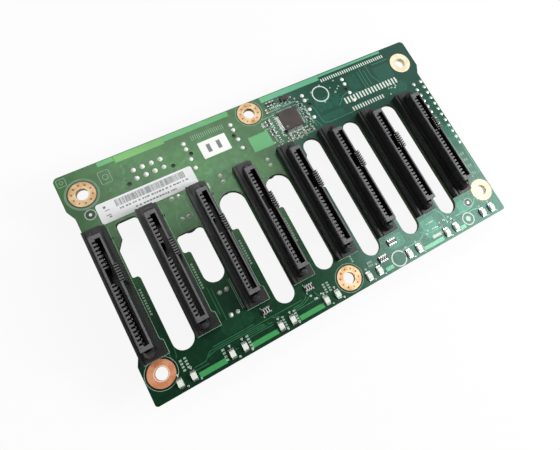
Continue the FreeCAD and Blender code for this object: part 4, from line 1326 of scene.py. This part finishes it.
@dataclass
class Stickers(Work):
    """Marks on the two paper labels: uneven upright bars and plain dashes."""

    film: float = 0.02

    def build(self) -> None:
        """Make the bars, dashes and small blocks."""
        left, bottom, top = self.layout.seat("code_label")
        start = self.layout.run([(left + 6.0, bottom + 4.95)], top)
        self.growth.bars.grow("label_bars", [start], Finishes.GREY_INK, Count=62, Pitch=0.37 * MM,
                              Height=2.3 * MM, Thickness=2 * self.film * MM, Seed=7)
        draw = random.Random(3)
        marks = []
        for row, place, end in ((2.9, 6.5, 28.4), (1.35, 11.0, 25.0)):
            while place < end:
                width = draw.uniform(0.35, 0.95)
                marks.append(bar(left + place + width / 2, bottom + row, width, 0.5))
                place += width + draw.choice((0.22, 0.22, 0.25, 0.6))
        marks += [bar(left + x, bottom + y, width, height) for x, y, width, height in (
            (2.4, 5.1, 0.8, 0.75), (2.9, 3.9, 1.5, 0.25), (2.8, 2.3, 1.4, 0.28), (3.1, 1.6, 0.7, 0.5))]
        self.plates("label_dashes", marks, Finishes.GREY_INK, self.film, top)
        left, bottom, top = self.layout.seat("white_tag")
        blocks = [bar(left + aside, bottom + 3.2, 1.3, 3.0) for aside in (3.0, 6.6)]
        self.plates("tag_blocks", blocks, Finishes.GREY_INK, self.film, top)


@dataclass
class ChipSurround(Work):
    """Solder pads, fanned lines and vias round the controller chip, and a mark on its top.

    Args:
        lanes: Number of lines on each side.
        pitch: Distance between them at the chip.
        fan: How many times farther apart they end.
        stays: How far past the leads the lines run before they fan out, in turn.
    """

    lanes: int = 12
    pitch: float = 0.5
    fan: float = 1.22
    stays: tuple[float, ...] = (1.0, 2.0, 1.5)

    PART_PADS = (
        (11, (71.6, 59.4), (0.0, 0.82), (0.75, 0.3)), (9, (69.9, 58.2), (0.0, 0.82), (0.62, 0.3)),
        (13, (72.2, 58.9), (0.72, 0.0), (0.3, 0.6)), (12, (72.6, 57.6), (0.78, 0.0), (0.3, 0.6)),
        (13, (82.3, 59.2), (0.0, 0.8), (0.7, 0.28)), (6, (71.2, 70.3), (0.74, 0.0), (0.3, 0.7)),
        (5, (71.0, 72.2), (0.8, 0.0), (0.3, 0.85)), (5, (77.6, 71.6), (0.8, 0.0), (0.32, 0.6)),
        (7, (66.4, 64.9), (0.62, 0.0), (0.26, 0.6)), (6, (66.6, 66.2), (0.62, 0.0), (0.26, 0.5)))
    VIA = Stamp([(0.1, 0.02), (0.11, 0.04), (0.22, 0.04), (0.26, 0.0)], 8, 0.1, 1.0, 2)

    def build(self) -> None:
        """Make the pads under the leads, the rows of pads round them and the fan of lines."""
        low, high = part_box("controller_leads")
        middle_x, middle_y = self.layout.back_of((low + high) / 2)
        reach = (high.x - low.x) / MM / 2
        pads, routes = [], []
        for turn_x, turn_y in ((1, 0), (0, 1), (-1, 0), (0, -1)):
            for lane in range(self.lanes):
                aside = (lane - (self.lanes - 1) / 2) * self.pitch
                end = reach + self.stays[lane % len(self.stays)]
                steps = ((reach - 0.35, aside), (end, aside), (end + 0.5, aside * self.fan),
                         (end + 1.0, aside * self.fan))
                routes.append([(middle_x + out * turn_x - off * turn_y,
                                middle_y + out * turn_y + off * turn_x) for out, off in steps])
                pads.append(bar(*routes[-1][0], *((1.15, 0.3) if turn_x else (0.3, 1.15))))
        draw = random.Random(8)
        for count, (x, y), (step_x, step_y), size in self.PART_PADS:
            pads += [bar(x + step_x * index, y + step_y * index, *size)
                     for index in range(count) if draw.random() > 0.16]
        self.plates("chip_pads", pads, Finishes.PAD_TIN, 0.05)
        self.ribbons("chip_lines", [self.layout.run(route) for route in routes], Finishes.TRACE, 0.17, 0.04)
        self.stamps("chip_vias", [route[-1] for route in routes], Finishes.PAD_TIN, self.VIA)
        left, bottom, top = self.layout.seat("controller_chip")
        self.plates("chip_first_pin_mark", [disc((left + 1.1, bottom + 1.1), 0.42, 20)], Finishes.GREY_INK,
                    0.012, top)


@dataclass
class ArrayTops(Work):
    """Pale gaps between the glazed elements of the resistor arrays, and their tinned shoulders."""

    pitch: float = 0.8
    gap: float = 0.22
    reach: float = 4.2

    def build(self) -> None:
        """Lay the gaps and shoulders on top of each array."""
        top = self.layout.seat("resistor_arrays")[2]
        gaps, shoulders = [], []
        for x, y in self.layout.clusters("resistor_arrays", self.reach):
            gaps += [bar(x + step * self.pitch, y, self.gap, 1.56) for step in (-1, 0, 1)]
            shoulders += [bar(x + (step - 1.5) * self.pitch, y + side * 0.66, 0.5, 0.26)
                          for step in range(4) for side in (-1, 1)]
        self.plates("array_gaps", gaps, Finishes.CERAMIC_WHITE, 0.015, top)
        self.plates("array_shoulders", shoulders, Finishes.TIN, 0.02, top)


@dataclass
class Cans(Work):
    """Turned capacitor cans with a rolled foot, a crimp groove and a marked top."""

    radius: float = 3.15
    groove: float = 0.28
    seal: float = 0.75
    mark_radius: float = 2.3
    crease: float = 38.0

    def build(self) -> None:
        """Turn one closed can at each seat, hanging from the board's back."""
        low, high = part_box("capacitor_cans")
        bottom = (low.z - self.layout.corner.z) / MM
        face = (high.z - self.layout.corner.z) / MM
        profile = [(0.0, bottom + 0.12), (2.35, bottom + 0.12), (2.5, bottom), (self.radius - 0.3, bottom),
                   (self.radius - 0.08, bottom + 0.1), (self.radius, bottom + 0.32),
                   (self.radius, face - 2.1), (self.radius - 0.12, face - 1.95),
                   (self.radius - self.groove, face - 1.7), (self.radius - 0.12, face - 1.45),
                   (self.radius, face - 1.3), (self.radius, face - self.seal + 0.15),
                   (self.radius - 0.15, face - self.seal + 0.35), (self.radius - 0.35, face - 0.3),
                   (self.radius - 0.35, face), (0.0, face)]
        seats = self.layout.clusters("capacitor_leads", CAN_REACH)
        stamp = lathe("can_form", profile, 48)
        form = bmesh.new()
        for seat in seats:
            copy = stamp.data.copy()
            copy.transform(Matrix.Translation(self.layout.at(*seat)))
            form.from_mesh(copy)
            bpy.data.meshes.remove(copy)
        mesh = bpy.data.meshes.new("turned_cans")
        form.to_mesh(mesh)
        form.free()
        mesh.set_sharp_from_angle(angle=math.radians(self.crease))
        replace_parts(placed("turned_cans", mesh, Finishes.CAN), "capacitor_cans")
        turns = [math.radians(turn) for turn in range(-60, 61, 8)]
        marks = [arc(seat, self.mark_radius, turns) for seat in seats]
        self.plates("can_marks", marks, Finishes.CAN_MARK, 0.03, bottom + 0.1)


@dataclass
class SolderWork(Work):
    """Solder joints of everything that comes through the board."""

    contact_pitch: float = 1.27
    group_gap: float = 6.35
    port_pitch: float = 0.8
    power_contacts: int = 15
    signal_contacts: int = 7
    first_tail: float = 0.22
    columns: Point = (4.4, 2.5)
    port_columns: Point = (5.9, 1.2)

    TAIL = Stamp([(0.0, -0.7), (0.17, -0.66), (0.27, -0.3), (0.48, -0.05), (0.52, 0.0)], 9, 0.08, 3.0, 5)
    HEADER = [(0.0, 0.72), (0.28, 0.7), (0.38, 0.5), (0.54, 0.26), (0.74, 0.08), (0.8, 0.0)]
    SMALL = [(0.0, 0.62), (0.26, 0.6), (0.36, 0.4), (0.48, 0.18), (0.62, 0.05), (0.68, 0.0)]
    FLAT = [(0.0, 0.34), (0.3, 0.3), (0.52, 0.16), (0.66, 0.05), (0.7, 0.0)]

    def front(self) -> None:
        """Make the joints on the front of the header, capacitor and cable connector leads."""
        for name, node, profile, reach in (("header_joints", "power_pins", self.HEADER, 1.0),
                                           ("capacitor_joints", "capacitor_leads", self.SMALL, 0.8),
                                           ("left_cage_joints", "cable_cage_left", self.FLAT, 1.2),
                                           ("right_cage_joints", "cable_cage_right", self.FLAT, 1.2)):
            self.stamps(name, self.layout.clusters(node, reach), Finishes.JOINT,
                        Stamp(profile, 20, 0.06, 3.0, 11))

    def back(self) -> None:
        """Make the rows of small joints of the drive connectors on the back."""
        spots = []
        for index in range(BAYS):
            start = self.layout.seat(f"drive_contacts_{index + 1}")[1] + self.first_tail
            last = start + (self.power_contacts - 1) * self.contact_pitch
            rows = [start + step * self.contact_pitch for step in range(self.power_contacts)]
            rows += [last + self.group_gap + step * self.contact_pitch
                     for step in range(self.signal_contacts)]
            left = self.layout.bay(index)
            spots += [(left + self.columns[step % 2], y) for step, y in enumerate(rows)]
            middle = last + self.group_gap / 2
            spots += [(left + self.port_columns[step % 2], middle + (step - 3) * self.port_pitch)
                      for step in range(7)]
        self.stamps("drive_tail_joints", spots, Finishes.JOINT, self.TAIL, -self.layout.thickness)

    def build(self) -> None:
        """Solder both faces."""
        self.front()
        self.back()


# ------------------------------ studio


@dataclass(frozen=True)
class Lamp:
    """One soft rectangular lamp.

    Args:
        name: Name of the lamp.
        aim: Point that it faces, in board millimetres.
        toward: Direction from that point to the lamp.
        distance: Distance of the lamp in metres.
        size: Length and height of the lamp in metres.
        power: Power in watts.
    """

    name: str
    aim: tuple[float, float, float]
    toward: tuple[float, float, float]
    distance: float
    size: Point
    power: float

    def hang(self, layout: Layout) -> None:
        """Make the lamp.

        Args:
            layout: The board's axes.
        """
        data = bpy.data.lights.new(self.name, "AREA")
        data.shape = "RECTANGLE"
        data.size, data.size_y = self.size
        data.energy = self.power
        lamp = bpy.data.objects.new(self.name, data)
        away = Vector(self.toward).normalized()
        lamp.location = layout.at(*self.aim) + away * self.distance
        lamp.rotation_mode = "QUATERNION"
        lamp.rotation_quaternion = away.to_track_quat("Z", "Y")
        bpy.context.scene.collection.objects.link(lamp)


@dataclass
class Studio:
    """Pale floor, soft lamps, plain surroundings and the camera.

    Args:
        layout: The board's axes.
        lamps: The lamps.
        focal: Focal length of the camera, in the units of frame_size.
        principal: Where the camera's axis meets the frame, from its upper left corner.
        turn: Rotation of the camera, as an axis times its angle in radians.
        eye: Place of the camera in board millimetres.
        frame_size: Width and height of the frame.
        matt: Grey of the floor.
        side: Half of the floor's width in metres.
        lit: Share of plain white in the floor where it is seen directly.
    """

    layout: Layout
    lamps: tuple[Lamp, ...] = (
        Lamp("right_softbox", (112, 8, 0), (92, 0, 141), 0.62, (0.2, 0.34), 1.12),
        Lamp("upper_softbox", (40, 62, 0), (60, 235, 562), 0.62, (0.36, 0.2), 0.72),
        Lamp("corner_softbox", (131, 72, 0), (108, 70, 141.6), 0.6, (0.12, 0.16), 0.06),
        Lamp("key_softbox", (66, 38, 0), (0.74, -0.38, 0.55), 0.6, (0.2, 0.2), 3.1),
        Lamp("left_softbox", (30, 40, 0), (-0.7, 0.3, 0.65), 0.6, (0.24, 0.24), 0.7))
    focal: float = 449.4163523750148
    principal: Point = (310.0, 218.0)
    turn: tuple[float, float, float] = (0.23301659, -0.24101809, -0.48364681)
    eye: tuple[float, float, float] = (22.85753, 4.53986, 141.60847)
    frame_size: tuple[int, int] = (560, 450)
    matt: Colour = (0.82, 0.82, 0.82)
    side: float = 3.0
    lit: float = 0.9

    def floor(self) -> None:
        """Lay the floor at the height of the lowest point; it keeps the board's shadow."""
        low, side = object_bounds()[0].z, self.side
        mesh = bpy.data.meshes.new("floor")
        mesh.from_pydata([(x, y, low) for x, y in oblong(-side, -side, side, side)], [], [(0, 1, 2, 3)])
        made = bpy.data.materials.new("floor_paper")
        made.use_nodes = True
        graph = Graph(made.node_tree)
        matt = graph.add("ShaderNodeBsdfDiffuse", {"Color": self.matt})
        glow = graph.add("ShaderNodeEmission", {"Color": WHITE, "Strength": 1.0})
        path = graph.add("ShaderNodeLightPath").outputs
        seen = graph.math("MAXIMUM", path["Is Camera Ray"], path["Is Transmission Ray"])
        mixed = graph.add("ShaderNodeMixShader", {
            0: graph.math("MULTIPLY", seen, self.lit), 1: matt.outputs[0], 2: glow.outputs[0]})
        graph.add("ShaderNodeOutputMaterial", {"Surface": mixed.outputs[0]})
        mesh.materials.append(made)
        floor = bpy.data.objects.new("floor", mesh)
        bpy.context.scene.collection.objects.link(floor)
        floor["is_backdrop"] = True

    def surroundings(self) -> None:
        """Make a room that is pale near the horizon and dim overhead, and white where it is seen."""
        world = bpy.data.worlds.new("room")
        bpy.context.scene.world = world
        world.use_nodes = True
        graph = Graph(world.node_tree)
        rise = graph.part(graph.add("ShaderNodeTexCoord").outputs["Generated"], "Z")
        level = graph.span(rise, 0.4, 0.85, 0.24, 0.06)
        seen = graph.add("ShaderNodeLightPath").outputs["Is Camera Ray"]
        backdrop = graph.add("ShaderNodeBackground", {
            "Color": WHITE, "Strength": graph.math("MAXIMUM", seen, level)})
        graph.add("ShaderNodeOutputWorld", {"Surface": backdrop.outputs[0]})

    def camera(self) -> None:
        """Set up the camera; the sensor's long side spans the frame's width."""
        data = bpy.data.cameras.new("view")
        width, height = self.frame_size
        data.sensor_width = 36.0
        data.lens = self.focal * data.sensor_width / width
        data.shift_x = (width / 2 - self.principal[0]) / width
        data.shift_y = (self.principal[1] - height / 2) / width
        data.clip_start, data.clip_end = 0.005, 20.0
        camera = bpy.data.objects.new("view", data)
        turn = Vector(self.turn)
        camera.rotation_mode = "QUATERNION"
        camera.rotation_quaternion = Quaternion(turn.normalized(), turn.length)
        camera.location = self.layout.at(*self.eye)
        bpy.context.scene.collection.objects.link(camera)
        bpy.context.scene.camera = camera

    def build(self) -> None:
        """Make the whole studio."""
        self.floor()
        self.surroundings()
        self.camera()
        for lamp in self.lamps:
            lamp.hang(self.layout)
        bpy.context.scene.view_settings.view_transform = "Standard"


# ------------------------------ everything


def main() -> None:
    """Dress the board, add what lies on it and set up the studio."""
    logging.basicConfig(level=logging.INFO, format="%(message)s")
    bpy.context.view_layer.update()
    layout, growth = Layout.of_frame(), Growth()
    Dressing().apply()
    for work in (ScrewPads, CopperWork, Printing, Stickers, ChipSurround, ArrayTops, Cans, SolderWork):
        work(layout, growth).build()
    Studio(layout).build()


if __name__ == "__main__":
    main()
